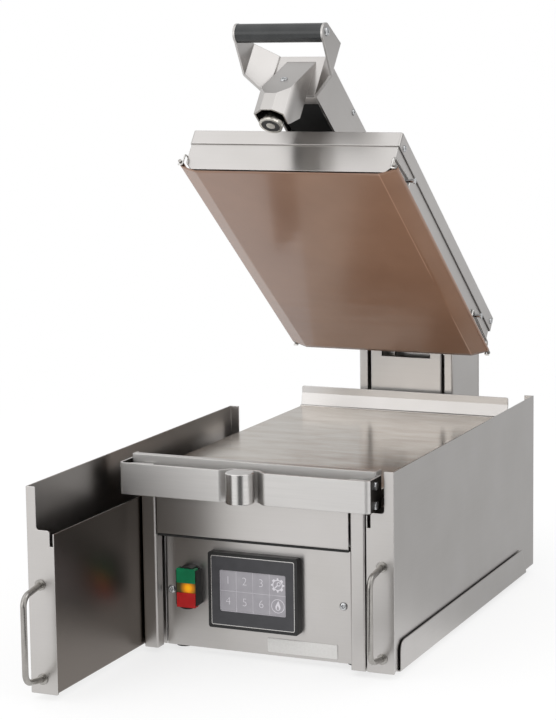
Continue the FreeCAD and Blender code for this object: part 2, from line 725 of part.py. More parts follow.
def solid_state_relays():
    """Two relays that switch the upper and lower elements, on the cabinet floor."""
    y0 = REAR - FLANGE - RELAY_DEPTH - 2 * RELAY_GAP
    z0 = FLOOR + SHEET
    relays = []
    for x in (-RELAY_WIDTH - RELAY_GAP, RELAY_GAP):
        base = box(x, x + RELAY_WIDTH, y0, y0 + RELAY_DEPTH, z0, z0 + RELAY_HEIGHT)
        notch = box(x + RELAY_WIDTH / 4, x + RELAY_WIDTH * 3 / 4, y0, y0 + RELAY_DEPTH / 5,
                    z0 + RELAY_HEIGHT / 2, z0 + RELAY_HEIGHT)
        relays.append(base.cut(notch).cut(moved(notch, y=RELAY_DEPTH * 4 / 5)))
    return Part.Compound(relays)


def bolt_places():
    """Centres of the two bolts in each return of the bar."""
    middle = BAR_BOTTOM + BAR_HEIGHT / 2
    y = FRONT - BOLT_FORWARD
    return [(y, middle - BOLT_SPACING / 2), (y, middle + BOLT_SPACING / 2)]


def front_bar():
    """Wrap-round bar with a shallow pocket in the middle for the armature post."""
    half_width = BAR_WIDTH / 2
    back = FRONT + BAR_RETURN
    mouth = POCKET_MOUTH / 2
    pocket = POCKET_FLOOR / 2
    path = [(half_width, back), (half_width, BAR_FRONT), (mouth, BAR_FRONT), (pocket, POCKET_FACE),
            (-pocket, POCKET_FACE), (-mouth, BAR_FRONT), (-half_width, BAR_FRONT), (-half_width, back)]
    bar = bent_plan(path, BAR_SHEET, BAR_BEND, BAR_BOTTOM, BAR_TOP)
    for y, z in bolt_places():
        bar = bar.cut(rod(BOLT_RADIUS + HOLE_CLEARANCE, Vector(-half_width, y, z), Vector(half_width, y, z)))
    return bar


def bar_brackets():
    """Angles on the post ears that the returns of the bar are bolted to."""
    outer = BAR_WIDTH / 2 - BAR_SHEET
    path = [(HALF - POST_WIDTH, FRONT), (outer, FRONT), (outer, FRONT - BRACKET_REACH)]
    bracket = bent_plan(path, BRACKET_SHEET, BEND, BAR_BOTTOM + BRACKET_SHEET, CABINET_TOP + POST_EAR)
    for y, z in bolt_places():
        bracket = bracket.cut(rod(BOLT_RADIUS + HOLE_CLEARANCE, Vector(0, y, z), Vector(outer, y, z)))
    return Part.Compound([bracket, mirrored(bracket)])


def bar_bolts():
    """Hexagon bolts with nuts, two in each return of the bar."""
    outer = BAR_WIDTH / 2
    grip_end = outer - BAR_SHEET - BRACKET_SHEET
    solids = []
    for y, z in bolt_places():
        head = hexagon(BOLT_HEAD_RADIUS, Vector(outer, y, z), BOLT_HEAD)
        nut = hexagon(BOLT_HEAD_RADIUS, Vector(grip_end - BOLT_HEAD, y, z), BOLT_HEAD)
        shank = rod(BOLT_RADIUS, Vector(grip_end - BOLT_HEAD, y, z), Vector(outer, y, z))
        bolt = fused([head, shank, nut])
        solids += [bolt, mirrored(bolt)]
    return Part.Compound(solids)


def armature_post():
    """Turned steel post that the electromagnet holds, with a flat against the pocket of the bar."""
    base = Vector(0, ARMATURE_Y, ARMATURE_TOP - ARMATURE_HEIGHT)
    post = Part.makeCylinder(ARMATURE_RADIUS, ARMATURE_HEIGHT, base)
    rims = [e for e in post.Edges if e.BoundBox.ZLength < ARMATURE_CHAMFER]
    post = post.makeChamfer(ARMATURE_CHAMFER, rims)
    behind = box(-ARMATURE_RADIUS, ARMATURE_RADIUS, POCKET_FACE, POCKET_FACE + ARMATURE_RADIUS,
                 base.z, ARMATURE_TOP)
    return post.cut(behind)


def tray_rail(side_sign):
    """Channel beside the cabinet that the tray slides in, with an upturned outer lip."""
    outer = LIP_INNER + SHEET
    y0 = FRONT + RAIL_SETBACK
    y1 = REAR - RAIL_REAR_SETBACK
    top = FLOOR + RAIL_LIP
    path = [(outer, top), (outer, FLOOR), (HALF, FLOOR), (HALF, FLOOR + RAIL_INNER)]
    rail = bent_front(path, SHEET, BEND, y0, y1)
    shape = side([(y0, FLOOR), (y1, FLOOR), (y1 - RAIL_TAIL, top), (y0, top)], HALF, outer,
                 [0, 0, 0, RAIL_CORNER])
    return sided(rail.common(shape), side_sign)


def tray(side_sign, pull):
    """Deep narrow drip tray: low inner wall, tall outer splash wall, stepped front and rear return."""
    y0 = FRONT
    y1 = FRONT + TRAY_LENGTH
    floor = FLOOR + SHEET
    path = [(TRAY_OUTER, TRAY_TOP), (TRAY_OUTER, floor), (TRAY_INNER, floor), (TRAY_INNER, TRAY_INNER_TOP)]
    trough = bent_front(path, SHEET, BEND, y0, y1)
    step_x = TRAY_OUTER - TRAY_STRIP
    relief_x = TRAY_INNER + TRAY_RELIEF_WIDTH
    face = front([(TRAY_INNER, FLOOR), (TRAY_OUTER, FLOOR), (TRAY_OUTER, TRAY_TOP), (step_x, TRAY_TOP),
                  (step_x, TRAY_STEP_TOP), (relief_x, TRAY_STEP_TOP),
                  (relief_x, TRAY_STEP_TOP - TRAY_RELIEF_DEPTH),
                  (TRAY_INNER, TRAY_STEP_TOP - TRAY_RELIEF_DEPTH)],
                 y0, y0 + SHEET, [SHEET, SHEET, 0, SHEET, TRAY_CORNER, TRAY_CORNER, 0, 0])
    rear = front([(TRAY_INNER, floor), (TRAY_OUTER, floor), (TRAY_OUTER, TRAY_INNER_TOP),
                  (TRAY_INNER, TRAY_INNER_TOP)], y1 - SHEET, y1, [BEND + SHEET, BEND + SHEET, 0, 0])
    rear_return = box(TRAY_OUTER - TRAY_REAR_RETURN, TRAY_OUTER, y1 - SHEET, y1, TRAY_INNER_TOP, TRAY_TOP)
    shape = fused([trough, face, rear, rear_return])
    return sided(moved(shape, y=-pull), side_sign)


def tray_handle(side_sign, pull):
    """Bow handle of bent rod with a collar at each end, on the front of a tray."""
    x = (TRAY_INNER + TRAY_OUTER) / 2 + HANDLE_SHIFT
    middle = FLOOR + HANDLE_CENTRE
    half = HANDLE_SPACING / 2
    bow = half - HANDLE_LEAN
    root = half + HANDLE_LEAN * HANDLE_RADIUS / HANDLE_REACH
    points = [Vector(x, FRONT + HANDLE_RADIUS, middle - root), Vector(x, FRONT - HANDLE_REACH, middle - bow),
              Vector(x, FRONT - HANDLE_REACH, middle + bow), Vector(x, FRONT + HANDLE_RADIUS, middle + root)]
    bar = wire_form(points, HANDLE_RADIUS, HANDLE_BEND)
    behind = box(x - HANDLE_BEND, x + HANDLE_BEND, FRONT, FRONT + HANDLE_REACH, FLOOR, TRAY_STEP_TOP)
    collars = []
    for z in (middle - half, middle + half):
        collars.append(rod(HANDLE_COLLAR_RADIUS, Vector(x, FRONT - HANDLE_COLLAR, z), Vector(x, FRONT, z)))
    shape = fused([bar.cut(behind)] + collars)
    return sided(moved(shape, y=-pull), side_sign)


def column_post(side_sign):
    """Channel at one side of the rear column."""
    outer = COLUMN_WIDTH / 2
    inner = outer - COLUMN_FLANGE
    back = REAR + COLUMN_DEPTH
    path = [(inner, back), (outer, back), (outer, REAR), (inner, REAR)]
    return sided(bent_plan(path, COLUMN_SHEET, BEND, FLOOR, COLUMN_TOP), side_sign)


def column_front_cover():
    """Cover between the posts, folded back at both sides, joggled to the posts low down, slotted for the arm."""
    half_width = COVER_WIDTH / 2
    seat = REAR + COLUMN_SHEET
    tab = COLUMN_WIDTH / 2 - COLUMN_FLANGE + COVER_TAB
    fold = REAR + COVER_RETURN
    bottom = CABINET_TOP + FACE_CLEARANCE
    joggled = [(tab, seat), (half_width + COVER_JOGGLE, seat), (half_width, REAR), (-half_width, REAR),
               (-half_width - COVER_JOGGLE, seat), (-tab, seat)]
    tabs = bent_plan(joggled, SHEET, BEND / 2, bottom, GRIDDLE_TOP)
    folded = [(half_width, fold), (half_width, REAR), (-half_width, REAR), (-half_width, fold)]
    cover = fused([tabs, bent_plan(folded, SHEET, BEND / 2, GRIDDLE_TOP, COLUMN_TOP)])
    slot = box(-SLOT_WIDTH / 2, SLOT_WIDTH / 2, REAR - SHEET, seat + 2 * SHEET,
               GRIDDLE_TOP + SLOT_RISE, COLUMN_TOP)
    return cover.cut(slot)


def column_rear_cover():
    """Back of the column, folded forward at the top as a short cap."""
    half_width = COLUMN_WIDTH / 2
    back = REAR + COLUMN_DEPTH + SHEET
    top = COLUMN_TOP + BEND + SHEET
    path = [(back - CAP_REACH, top), (back, top), (back, FLOOR)]
    cover = bent_side(path, SHEET, BEND, -half_width, half_width)
    for i in range(REAR_VENT_COUNT):
        z = CABINET_TOP - (i + 1) * REAR_VENT_PITCH
        cover = cover.cut(box(-REAR_VENT_LENGTH / 2, REAR_VENT_LENGTH / 2, back - SHEET, back,
                              z, z + REAR_VENT_HEIGHT))
    return cover


def hinge_bearings():
    """Flanged bearing on the inside of each column post, with a sleeve for the spring cartridge."""
    half = BEARING_SIZE / 2
    inner = COLUMN_INNER - BEARING_THICKNESS
    sleeve_end = ARM_WIDTH / 2 + CARTRIDGE_GAP
    block = side([(HINGE_Y - half, HINGE_Z - half), (HINGE_Y + half, HINGE_Z - half),
                  (HINGE_Y + half, HINGE_Z + half), (HINGE_Y - half, HINGE_Z + half)],
                 inner, COLUMN_INNER, [half / 4] * 4)
    sleeve = rod(SLEEVE_RADIUS, Vector(sleeve_end, HINGE_Y, HINGE_Z), Vector(inner, HINGE_Y, HINGE_Z))
    bore = rod(SHAFT_RADIUS + RUNNING_FIT, Vector(0, HINGE_Y, HINGE_Z),
               Vector(COLUMN_INNER, HINGE_Y, HINGE_Z))
    bearing = fused([block, sleeve]).cut(bore)
    return Part.Compound([bearing, mirrored(bearing)])


def spring_cartridges():
    """Closed torsion-spring cartridges on the bearing sleeves that lift the head."""
    start = Vector(ARM_WIDTH / 2 + 2 * CARTRIDGE_GAP, HINGE_Y, HINGE_Z)
    end = Vector(COLUMN_INNER - BEARING_THICKNESS, HINGE_Y, HINGE_Z)
    cartridge = ring(CARTRIDGE_RADIUS, SLEEVE_RADIUS + RUNNING_FIT, start, end)
    return Part.Compound([cartridge, mirrored(cartridge)])


def hinge_shaft():
    """Shaft through the arm hub, turning in both bearings."""
    end = COLUMN_INNER - FACE_CLEARANCE
    return rod(SHAFT_RADIUS, Vector(-end, HINGE_Y, HINGE_Z), Vector(end, HINGE_Y, HINGE_Z))


def arm_hub():
    """Tube on the shaft that keeps the two arm plates apart."""
    start = Vector(-ARM_INNER, HINGE_Y, HINGE_Z)
    end = Vector(ARM_INNER, HINGE_Y, HINGE_Z)
    return ring(HUB_RADIUS, SHAFT_RADIUS + RUNNING_FIT, start, end)


def arm_outline():
    """Side view of an arm plate: straight beam, rising toe, rounded grip end and hinge lobe."""
    wing_front = ARM_FRONT - WING_OUT
    toe = ARM_BOTTOM + WING_TOE_RISE
    chin = GRIP_Z - GRIP_END_RADIUS
    reach = ARM_WIDTH / 2 + WING_OUT
    beam = side([(ARM_TAIL, ARM_TOP), (wing_front, ARM_TOP), (GRIP_Y, GRIP_Z + GRIP_END_RADIUS),
                 (GRIP_Y, chin), (wing_front, toe), (ARM_FRONT, ARM_BOTTOM), (ARM_TAIL, ARM_BOTTOM),
                 (HINGE_Y, HINGE_Z - HUB_RADIUS), (HINGE_Y + HUB_RADIUS, HINGE_Z)], 0, reach)
    lobe = rod(HUB_RADIUS, Vector(0, HINGE_Y, HINGE_Z), Vector(reach, HINGE_Y, HINGE_Z))
    nose = rod(GRIP_END_RADIUS, Vector(0, GRIP_Y, GRIP_Z), Vector(reach, GRIP_Y, GRIP_Z))
    return fused([beam, lobe, nose])


def arm_plate(side_sign):
    """Side plate of the arm, winged out at the front to hold the grip."""
    outer = ARM_WIDTH / 2
    tail = HINGE_Y + HUB_RADIUS
    nose = GRIP_Y - GRIP_END_RADIUS
    path = [(outer, tail), (outer, ARM_FRONT), (outer + WING_OUT, ARM_FRONT - WING_OUT),
            (outer + WING_OUT, nose)]
    strip = bent_plan(path, ARM_SHEET, BEND, HINGE_Z - HUB_RADIUS, ARM_TOP)
    plate = strip.common(arm_outline())
    bore = rod(SHAFT_RADIUS + RUNNING_FIT, Vector(0, HINGE_Y, HINGE_Z), Vector(ARM_WIDTH, HINGE_Y, HINGE_Z))
    return sided(plate.cut(bore), side_sign)


def arm_top_cover():
    """Plate that closes the top of the arm between its side plates."""
    return box(-ARM_INNER, ARM_INNER, ARM_FRONT + HOOD_SHEET, ARM_TAIL,
               ARM_TOP - HOOD_SHEET, ARM_TOP)


def arm_front_cap():
    """Front plate of the arm with a turned-back lower flange."""
    path = [(ARM_FRONT + CAP_FLANGE, ARM_BOTTOM), (ARM_FRONT, ARM_BOTTOM), (ARM_FRONT, ARM_TOP)]
    return bent_side(path, HOOD_SHEET, BEND, -ARM_INNER, ARM_INNER)


def hood_form(profile, half_width, nose):
    """Solid of the hood's side view with both front corners cut off."""
    block = side(profile, -half_width, half_width)
    flank = half_width - HOOD_CHAMFER_SIDE
    cheek = nose + HOOD_CHAMFER_FRONT
    far = nose - HOOD_REACH
    corner = plan([(flank, nose), (half_width, cheek), (HOOD_WIDTH, cheek), (HOOD_WIDTH, far), (flank, far)],
                  LID_TOP - 2 * HEAD_HEIGHT, ARM_TOP)
    return block.cut(corner).cut(mirrored(corner))


def magnet_hood():
    """Folded nose on the arm that shields the electromagnet, open below and behind."""
    top = ARM_TOP - HOOD_TOP_DROP
    nose = ARM_FRONT - HOOD_REACH
    brow = top - HOOD_FACE_DROP
    chin = brow - HOOD_SKIRT
    outside = [(ARM_FRONT, top), (nose, brow), (nose, chin), (nose + HOOD_MOUTH, chin),
               (ARM_FRONT, chin + HOOD_HEEL_RISE)]
    slope = HOOD_FACE_DROP / HOOD_REACH
    inner_nose = nose + HOOD_SHEET
    inner_top = top - HOOD_SHEET * math.hypot(1, slope)
    inner_brow = inner_top - (ARM_FRONT - inner_nose) * slope
    below = chin - HOOD_SKIRT
    inside = [(ARM_FRONT, inner_top), (inner_nose, inner_brow), (inner_nose, below), (ARM_FRONT, below)]
    half_width = HOOD_WIDTH / 2
    shell = hood_form(outside, half_width, nose)
    return shell.cut(hood_form(inside, half_width - HOOD_SHEET, inner_nose))


def magnet_shelf():
    """Plate between the cheeks of the hood that the electromagnet hangs from."""
    half_width = HOOD_WIDTH / 2 - HOOD_SHEET
    return box(-half_width, half_width, MAGNET_Y - SHELF_REACH, MAGNET_Y + SHELF_REACH,
               MAGNET_TOP, MAGNET_TOP + HOOD_SHEET)


def magnet_shell():
    """Steel cup of the electromagnet with its centre pole left out."""
    bottom = Vector(0, MAGNET_Y, MAGNET_FACE)
    top = Vector(0, MAGNET_Y, MAGNET_TOP)
    cup = rod(MAGNET_RADIUS, bottom, top)
    return cup.cut(rod(MAGNET_RADIUS - MAGNET_WALL, bottom, top - Vector(0, 0, MAGNET_WALL)))


def magnet_coil():
    """Potted winding in the cup, flush with its face."""
    bottom = Vector(0, MAGNET_Y, MAGNET_FACE + FACE_CLEARANCE)
    top = Vector(0, MAGNET_Y, MAGNET_TOP - MAGNET_WALL)
    return ring(MAGNET_RADIUS - MAGNET_WALL - RUNNING_FIT, MAGNET_CORE_RADIUS + RUNNING_FIT, bottom, top)


def magnet_core():
    """Centre pole of the electromagnet."""
    bottom = Vector(0, MAGNET_Y, MAGNET_FACE)
    return rod(MAGNET_CORE_RADIUS, bottom, Vector(0, MAGNET_Y, MAGNET_TOP - MAGNET_WALL))


def grip():
    """Plastic tube between the two arm plates."""
    half = ARM_WIDTH / 2 + WING_OUT - ARM_SHEET
    return ring(GRIP_RADIUS, GRIP_RADIUS / 3, Vector(-half, GRIP_Y, GRIP_Z), Vector(half, GRIP_Y, GRIP_Z))


def lid():
    """Folded stainless lid over the heated platen."""
    half_width = LID_WIDTH / 2
    inner_half = half_width - SHEET
    inner_front = HEAD_FRONT + SHEET
    inner_rear = LID_REAR - SHEET
    shell = plan([(-half_width, HEAD_FRONT), (half_width, HEAD_FRONT), (half_width, LID_REAR),
                  (-half_width, LID_REAR)], LID_BOTTOM, LID_TOP, [LID_CORNER] * 4)
    hollow = plan([(-inner_half, inner_front), (inner_half, inner_front), (inner_half, inner_rear),
                   (-inner_half, inner_rear)], LID_BOTTOM, LID_TOP - SHEET, [LID_CORNER - SHEET] * 4)
    return shell.cut(hollow)


def lid_hangers():
    """Two channels that bolt the lid to the inside of the arm."""
    z1 = LID_TOP + CARRIER_HEIGHT
    path = [(ARM_INNER, z1), (ARM_INNER, LID_TOP), (-ARM_INNER, LID_TOP), (-ARM_INNER, z1)]
    hangers = []
    for y0 in (HEAD_FRONT + CARRIER_SETBACK, LID_REAR - CARRIER_SETBACK - CARRIER_LENGTH):
        hangers.append(bent_front(path, ARM_SHEET, BEND, y0, y0 + CARRIER_LENGTH))
    return Part.Compound(hangers)


def platen_housing():
    """Sheet walls round the platen, up to the lid, with their lower corners cut off above the flaps."""
    half_width = HOUSING_WIDTH / 2
    foot = half_width - HOUSING_CUT
    z0 = PLATEN_BOTTOM + HOUSING_LIFT
    z1 = LID_TOP - SHEET
    section = [(-foot, z0), (foot, z0), (half_width, z0 + HOUSING_CUT), (half_width, z1),
               (-half_width, z1), (-half_width, z0 + HOUSING_CUT)]
    outer = front(section, HOUSING_FRONT, HOUSING_REAR)
    return outer.cut(box(SHEET - half_width, half_width - SHEET, HOUSING_FRONT + SHEET, HOUSING_REAR - SHEET,
                         z0, z1))


def upper_platen():
    """Thick heated plate with bevelled long edges."""
    half_width = PLATEN_WIDTH / 2
    half_flat = half_width - PLATEN_EDGE
    shoulder = PLATEN_BOTTOM + PLATEN_BEVEL
    section = [(-half_flat, PLATEN_BOTTOM), (half_flat, PLATEN_BOTTOM), (half_width, shoulder),
               (half_width, PLATEN_TOP), (-half_width, PLATEN_TOP), (-half_width, shoulder)]
    return front(section, PLATEN_FRONT, PLATEN_REAR)


def upper_heating_elements():
    """Elements lying on the back of the platen."""
    return heaters(PLATEN_WIDTH - 2 * PLATEN_EDGE, PLATEN_FRONT + HEATER_MARGIN, PLATEN_REAR - HEATER_MARGIN,
                   PLATEN_TOP + HEATER_RADIUS)


def upper_insulation():
    """Mineral-wool board between the elements and the lid."""
    half_width = PLATEN_WIDTH / 2
    return box(-half_width, half_width, PLATEN_FRONT, PLATEN_REAR, PLATEN_TOP + 2 * HEATER_RADIUS,
               LID_TOP - SHEET)


def rod_centre():
    """Side and height of the rods that stretch the release sheet."""
    return ROD_SPACING / 2, PLATEN_BOTTOM + ROD_RISE


def hem_radius():
    """Outside of the hem that is rolled round a rod."""
    return ROD_RADIUS + HEM_CLEARANCE + RELEASE_SHEET


def clip_plane():
    """Side of the spring clips, just clear of the hem."""
    return ROD_SPACING / 2 + hem_radius() + CLIP_CLEARANCE + CLIP_RADIUS


def release_sheet():
    """Non-stick sheet under the platen, drawn up at both sides to a hem round each rod."""
    x, z = rod_centre()
    half_flat = PLATEN_WIDTH / 2 - PLATEN_EDGE + FACE_CLEARANCE
    face = PLATEN_BOTTOM - RELEASE_SHEET
    y0 = RELEASE_FRONT
    y1 = RELEASE_REAR
    path = [(x, z - hem_radius()), (half_flat, face), (-half_flat, face), (-x, z - hem_radius())]
    sheet = bent_front(path, RELEASE_SHEET, 0, y0, y1)
    hems = []
    for rod_x in (x, -x):
        hems.append(rod(hem_radius(), Vector(rod_x, y0, z), Vector(rod_x, y1, z)))
    whole = fused([sheet] + hems)
    for rod_x in (x, -x):
        whole = whole.cut(rod(ROD_RADIUS + HEM_CLEARANCE, Vector(rod_x, y0, z), Vector(rod_x, y1, z)))
    return whole


def clip_rods():
    """Round rods inside the hems of the release sheet."""
    x, z = rod_centre()
    right = rod(ROD_RADIUS, Vector(x, RELEASE_FRONT - ROD_OVERHANG, z),
                Vector(x, RELEASE_REAR + ROD_OVERHANG, z))
    return Part.Compound([right, mirrored(right)])


def clip_studs():
    """Headed studs on the platen housing that the spring clips hook over."""
    z = PLATEN_BOTTOM + STUD_RISE
    wall = HOUSING_WIDTH / 2
    shoulder = clip_plane() + CLIP_RADIUS + CLIP_CLEARANCE
    solids = []
    for y in (HOUSING_FRONT + STUD_FRONT_SETBACK, HOUSING_REAR - STUD_REAR_SETBACK):
        end = Vector(shoulder, y, z)
        stud = rod(STUD_RADIUS, Vector(wall, y, z), end)
        head = rod(STUD_HEAD_RADIUS, end, end + Vector(STUD_HEAD, 0, 0))
        stud = fused([stud, head])
        solids += [stud, mirrored(stud)]
    return Part.Compound(solids)


def spring_clips():
    """Bent spring wires from the studs down to the ends of the rods."""
    rod_x, rod_z = rod_centre()
    x = clip_plane()
    stud_z = PLATEN_BOTTOM + STUD_RISE
    over = STUD_RADIUS + CLIP_RADIUS + CLIP_CLEARANCE
    under = ROD_RADIUS + CLIP_RADIUS + CLIP_CLEARANCE
    front_end = (HOUSING_FRONT + STUD_FRONT_SETBACK, RELEASE_FRONT - ROD_OVERHANG / 2, 1)
    rear_end = (HOUSING_REAR - STUD_REAR_SETBACK, RELEASE_REAR + ROD_OVERHANG / 2, -1)
    solids = []
    for stud_y, end_y, step in (front_end, rear_end):
        hook_y = stud_y + step * (over + CLIP_HOOK)
        points = [
            Vector(x, hook_y, stud_z - over),
            Vector(x, hook_y, stud_z + over),
            Vector(x, stud_y, stud_z + over),
            Vector(x, end_y, rod_z - under),
            Vector(rod_x - CLIP_HOOK, end_y, rod_z - under),
        ]
        section = Part.Wire(Part.makeCircle(CLIP_RADIUS, points[0], points[1] - points[0]))
        clip = Part.makePolygon(points).makePipeShell([section], True, False, MITRED)
        solids += [clip, mirrored(clip)]
    return Part.Compound(solids)


def pieces():
    """Every node of the machine by name."""
    nodes = {
        "feet": feet(),
        "bottom_panel": bottom_panel(),
        "rear_panel": rear_panel(),
        "cable_gland": cable_gland(),
        "front_fascia": front_fascia(),
        "control_panel": control_panel(),
        "panel_brackets": panel_brackets(),
        "touch_panel_housing": touch_panel_housing(),
        "touch_panel_screen": touch_panel_screen(),
        "switch_body": switch_body(),
        "green_button": push_button(1),
        "red_button": push_button(-1),
        "pilot_lens": pilot_lens(),
        "griddle_plate": griddle_plate(),
        "front_lip": front_lip(),
        "back_splash": back_splash(),
        "lower_heating_elements": lower_heating_elements(),
        "lower_insulation": lower_insulation(),
        "insulation_shelf": insulation_shelf(),
        "solid_state_relays": solid_state_relays(),
        "front_bar": front_bar(),
        "bar_brackets": bar_brackets(),
        "bar_bolts": bar_bolts(),
        "armature_post": armature_post(),
        "column_front_cover": column_front_cover(),
        "column_rear_cover": column_rear_cover(),
        "hinge_bearings": hinge_bearings(),
        "spring_cartridges": spring_cartridges(),
    }
    for name, side_sign in (("left", -1), ("right", 1)):
        pull = TRAY_PULLED if side_sign < 0 else 0.0
        nodes[name + "_side_panel"] = side_panel(side_sign)
        nodes[name + "_tray_rail"] = tray_rail(side_sign)
        nodes[name + "_column_post"] = column_post(side_sign)
        nodes[name + "_tray"] = tray(side_sign, pull)
        nodes[name + "_tray_handle"] = tray_handle(side_sign, pull)
        nodes[name + "_arm_plate"] = opened(arm_plate(side_sign))
    head = {
        "hinge_shaft": hinge_shaft,
        "arm_hub": arm_hub,
        "arm_top_cover": arm_top_cover,
        "arm_front_cap": arm_front_cap,
        "magnet_hood": magnet_hood,
        "magnet_shelf": magnet_shelf,
        "magnet_shell": magnet_shell,
        "magnet_coil": magnet_coil,
        "magnet_core": magnet_core,
        "grip": grip,
        "lid": lid,
        "lid_hangers": lid_hangers,
        "platen_housing": platen_housing,
        "upper_platen": upper_platen,
        "upper_heating_elements": upper_heating_elements,
        "upper_insulation": upper_insulation,
        "release_sheet": release_sheet,
        "clip_rods": clip_rods,
        "clip_studs": clip_studs,
        "spring_clips": spring_clips,
    }
    for name, make in head.items():
        nodes[name] = opened(make())
    return nodes


os.makedirs("parts", exist_ok=True)
for node, shape in pieces().items():
    shape.exportStep("parts/" + node + ".step")
    print(node, len(shape.Solids), "solids,", round(shape.Volume / 1000, 1), "cm3, valid", shape.isValid())
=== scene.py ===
# %% [markdown]
# # A clamshell contact grill
# The machine is a stainless countertop grill: a flat griddle below, and a hinged head above it that carries a
# second hot plate under a brown non-stick sheet. Its rigid parts come from the CAD model as a fixed frame. This
# lesson lights them, gives every part the finish of its real material, and adds the soft and small pieces that a
# CAD model leaves plain: the release sheet, the wire clips, the screws and the picture on the touch panel.

# %% The frame and its size
import json
import math

import bmesh
import bpy
from mathutils import Matrix, Vector

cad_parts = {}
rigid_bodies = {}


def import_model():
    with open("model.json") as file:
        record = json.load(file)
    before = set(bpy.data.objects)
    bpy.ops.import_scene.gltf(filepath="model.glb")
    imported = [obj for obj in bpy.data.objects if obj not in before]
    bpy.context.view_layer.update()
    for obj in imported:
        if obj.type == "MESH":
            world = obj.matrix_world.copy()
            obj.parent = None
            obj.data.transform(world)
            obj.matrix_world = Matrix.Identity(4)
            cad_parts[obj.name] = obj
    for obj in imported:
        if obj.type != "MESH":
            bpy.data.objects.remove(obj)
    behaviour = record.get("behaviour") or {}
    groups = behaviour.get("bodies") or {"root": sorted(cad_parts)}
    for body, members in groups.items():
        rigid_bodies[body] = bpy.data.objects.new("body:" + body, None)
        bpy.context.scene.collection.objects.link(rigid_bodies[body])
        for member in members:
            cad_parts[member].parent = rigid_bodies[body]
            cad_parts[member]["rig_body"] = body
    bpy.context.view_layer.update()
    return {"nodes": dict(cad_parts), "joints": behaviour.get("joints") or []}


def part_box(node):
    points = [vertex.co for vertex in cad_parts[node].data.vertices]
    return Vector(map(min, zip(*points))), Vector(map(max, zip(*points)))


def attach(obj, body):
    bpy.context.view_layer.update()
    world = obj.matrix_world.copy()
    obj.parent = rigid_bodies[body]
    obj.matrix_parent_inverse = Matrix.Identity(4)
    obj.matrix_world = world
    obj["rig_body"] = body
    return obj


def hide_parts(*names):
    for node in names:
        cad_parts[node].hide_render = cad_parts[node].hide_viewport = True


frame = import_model()
MM = 0.001
nodes = frame["nodes"]

# %% [markdown]
# ## The camera
# The picture was taken with a long lens from the right and a little above. The place, the turn and the lens below
# come from lining up the machine's corners with the picture. It was cropped off centre, which the lens shift gives.

# %% The camera
PICTURE_WIDTH = 556
PICTURE_HEIGHT = 720
CAMERA_PLACE = Vector((1.1396, -2.6879, 0.8293))
CAMERA_YAW = math.radians(23.37)
CAMERA_PITCH = math.radians(-7.85)
CAMERA_ROLL = math.radians(-0.70)
FOCAL_PIXELS = 2153.69
LENS_CENTRE = (297.70, 319.92)
SENSOR = 36

scene = bpy.context.scene
view = bpy.data.cameras.new("camera")
view.sensor_width = SENSOR
view.lens = FOCAL_PIXELS / PICTURE_HEIGHT * SENSOR
view.shift_x = (PICTURE_WIDTH / 2 - LENS_CENTRE[0]) / PICTURE_HEIGHT
view.shift_y = (LENS_CENTRE[1] - PICTURE_HEIGHT / 2) / PICTURE_HEIGHT
camera = bpy.data.objects.new("camera", view)
scene.collection.objects.link(camera)
scene.camera = camera
upright = Matrix.Rotation(math.radians(90) + CAMERA_PITCH, 4, "X")
camera.matrix_world = (Matrix.Translation(CAMERA_PLACE) @ Matrix.Rotation(CAMERA_YAW, 4, "Z") @ upright
                       @ Matrix.Rotation(CAMERA_ROLL, 4, "Z"))
print("lens", round(view.lens, 1), "mm, shift", round(view.shift_x, 4), round(view.shift_y, 4))

# %% [markdown]
# ## Colours and nodes
# Colours are written as hex values, the way a paint program shows them. The renderer counts in linear light, so
# one function turns the one into the other. A second small function adds a shader node with its settings and its
# links, which keeps each recipe below down to what is special about that material. Two more begin a recipe with an
# empty material and end it with the surface.


# %% Colours and nodes
def linear(hex_colour):
    """A hex colour as linear light, with full alpha."""
    light = []
    for start in (1, 3, 5):
        share = int(hex_colour[start:start + 2], 16) / 255
        light.append(share / 12.92 if share <= 0.04045 else ((share + 0.055) / 1.055) ** 2.4)
    return (*light, 1.0)


def add(tree, kind, inputs=None, **settings):
    """A new shader node. Its inputs are named, or counted among those in use. Each gets a plain value, an output
    to link, or a node, which gives its first output in use."""
    made = tree.nodes.new("ShaderNode" + kind)
    for name, value in settings.items():
        setattr(made, name, value)
    in_use = [socket for socket in made.inputs if socket.enabled]
    for name, value in (inputs or {}).items():
        socket = in_use[name] if isinstance(name, int) else made.inputs[name]
        if isinstance(value, bpy.types.Node):
            value = next(output for output in value.outputs if output.enabled)
        if isinstance(value, bpy.types.NodeSocket):
            tree.links.new(value, socket)
        else:
            socket.default_value = value
    return made


def new_finish(name):
    """A new material and its empty node tree."""
    material = bpy.data.materials.new(name)
    material.use_nodes = True
    material.node_tree.nodes.clear()
    return material, material.node_tree


def surface(tree, inputs):
    """Ends a recipe with the surface shader, set by those inputs, and the output."""
    add(tree, "OutputMaterial", {0: add(tree, "BsdfPrincipled", inputs)})


EASED = {"interpolation_type": "SMOOTHSTEP"}
RGBA = {"data_type": "RGBA"}
print("mid grey #808080 is", round(linear("#808080")[0], 3), "in linear light")

# %% [markdown]
# ## The room
# Steel shows the room around it, so the room is half of its finish. The camera sees a white room. In mirror images
# the room is bright all round except on two sides. Behind the machine on the right it falls off to grey, which is
# what models the machine's right side. Where the camera stands it is dark, and a corner between two steel faces
# sends the eye straight back there, which darkens the drawn-out tray inside, along with the shade painted on its
# inner wall.

# %% The room
SHADED_SIDE = (0.40, 0.91, 0.10)
CAMERA_SIDE = (0.46, -0.89, 0.0)
WHITE = linear("#FFFFFF")


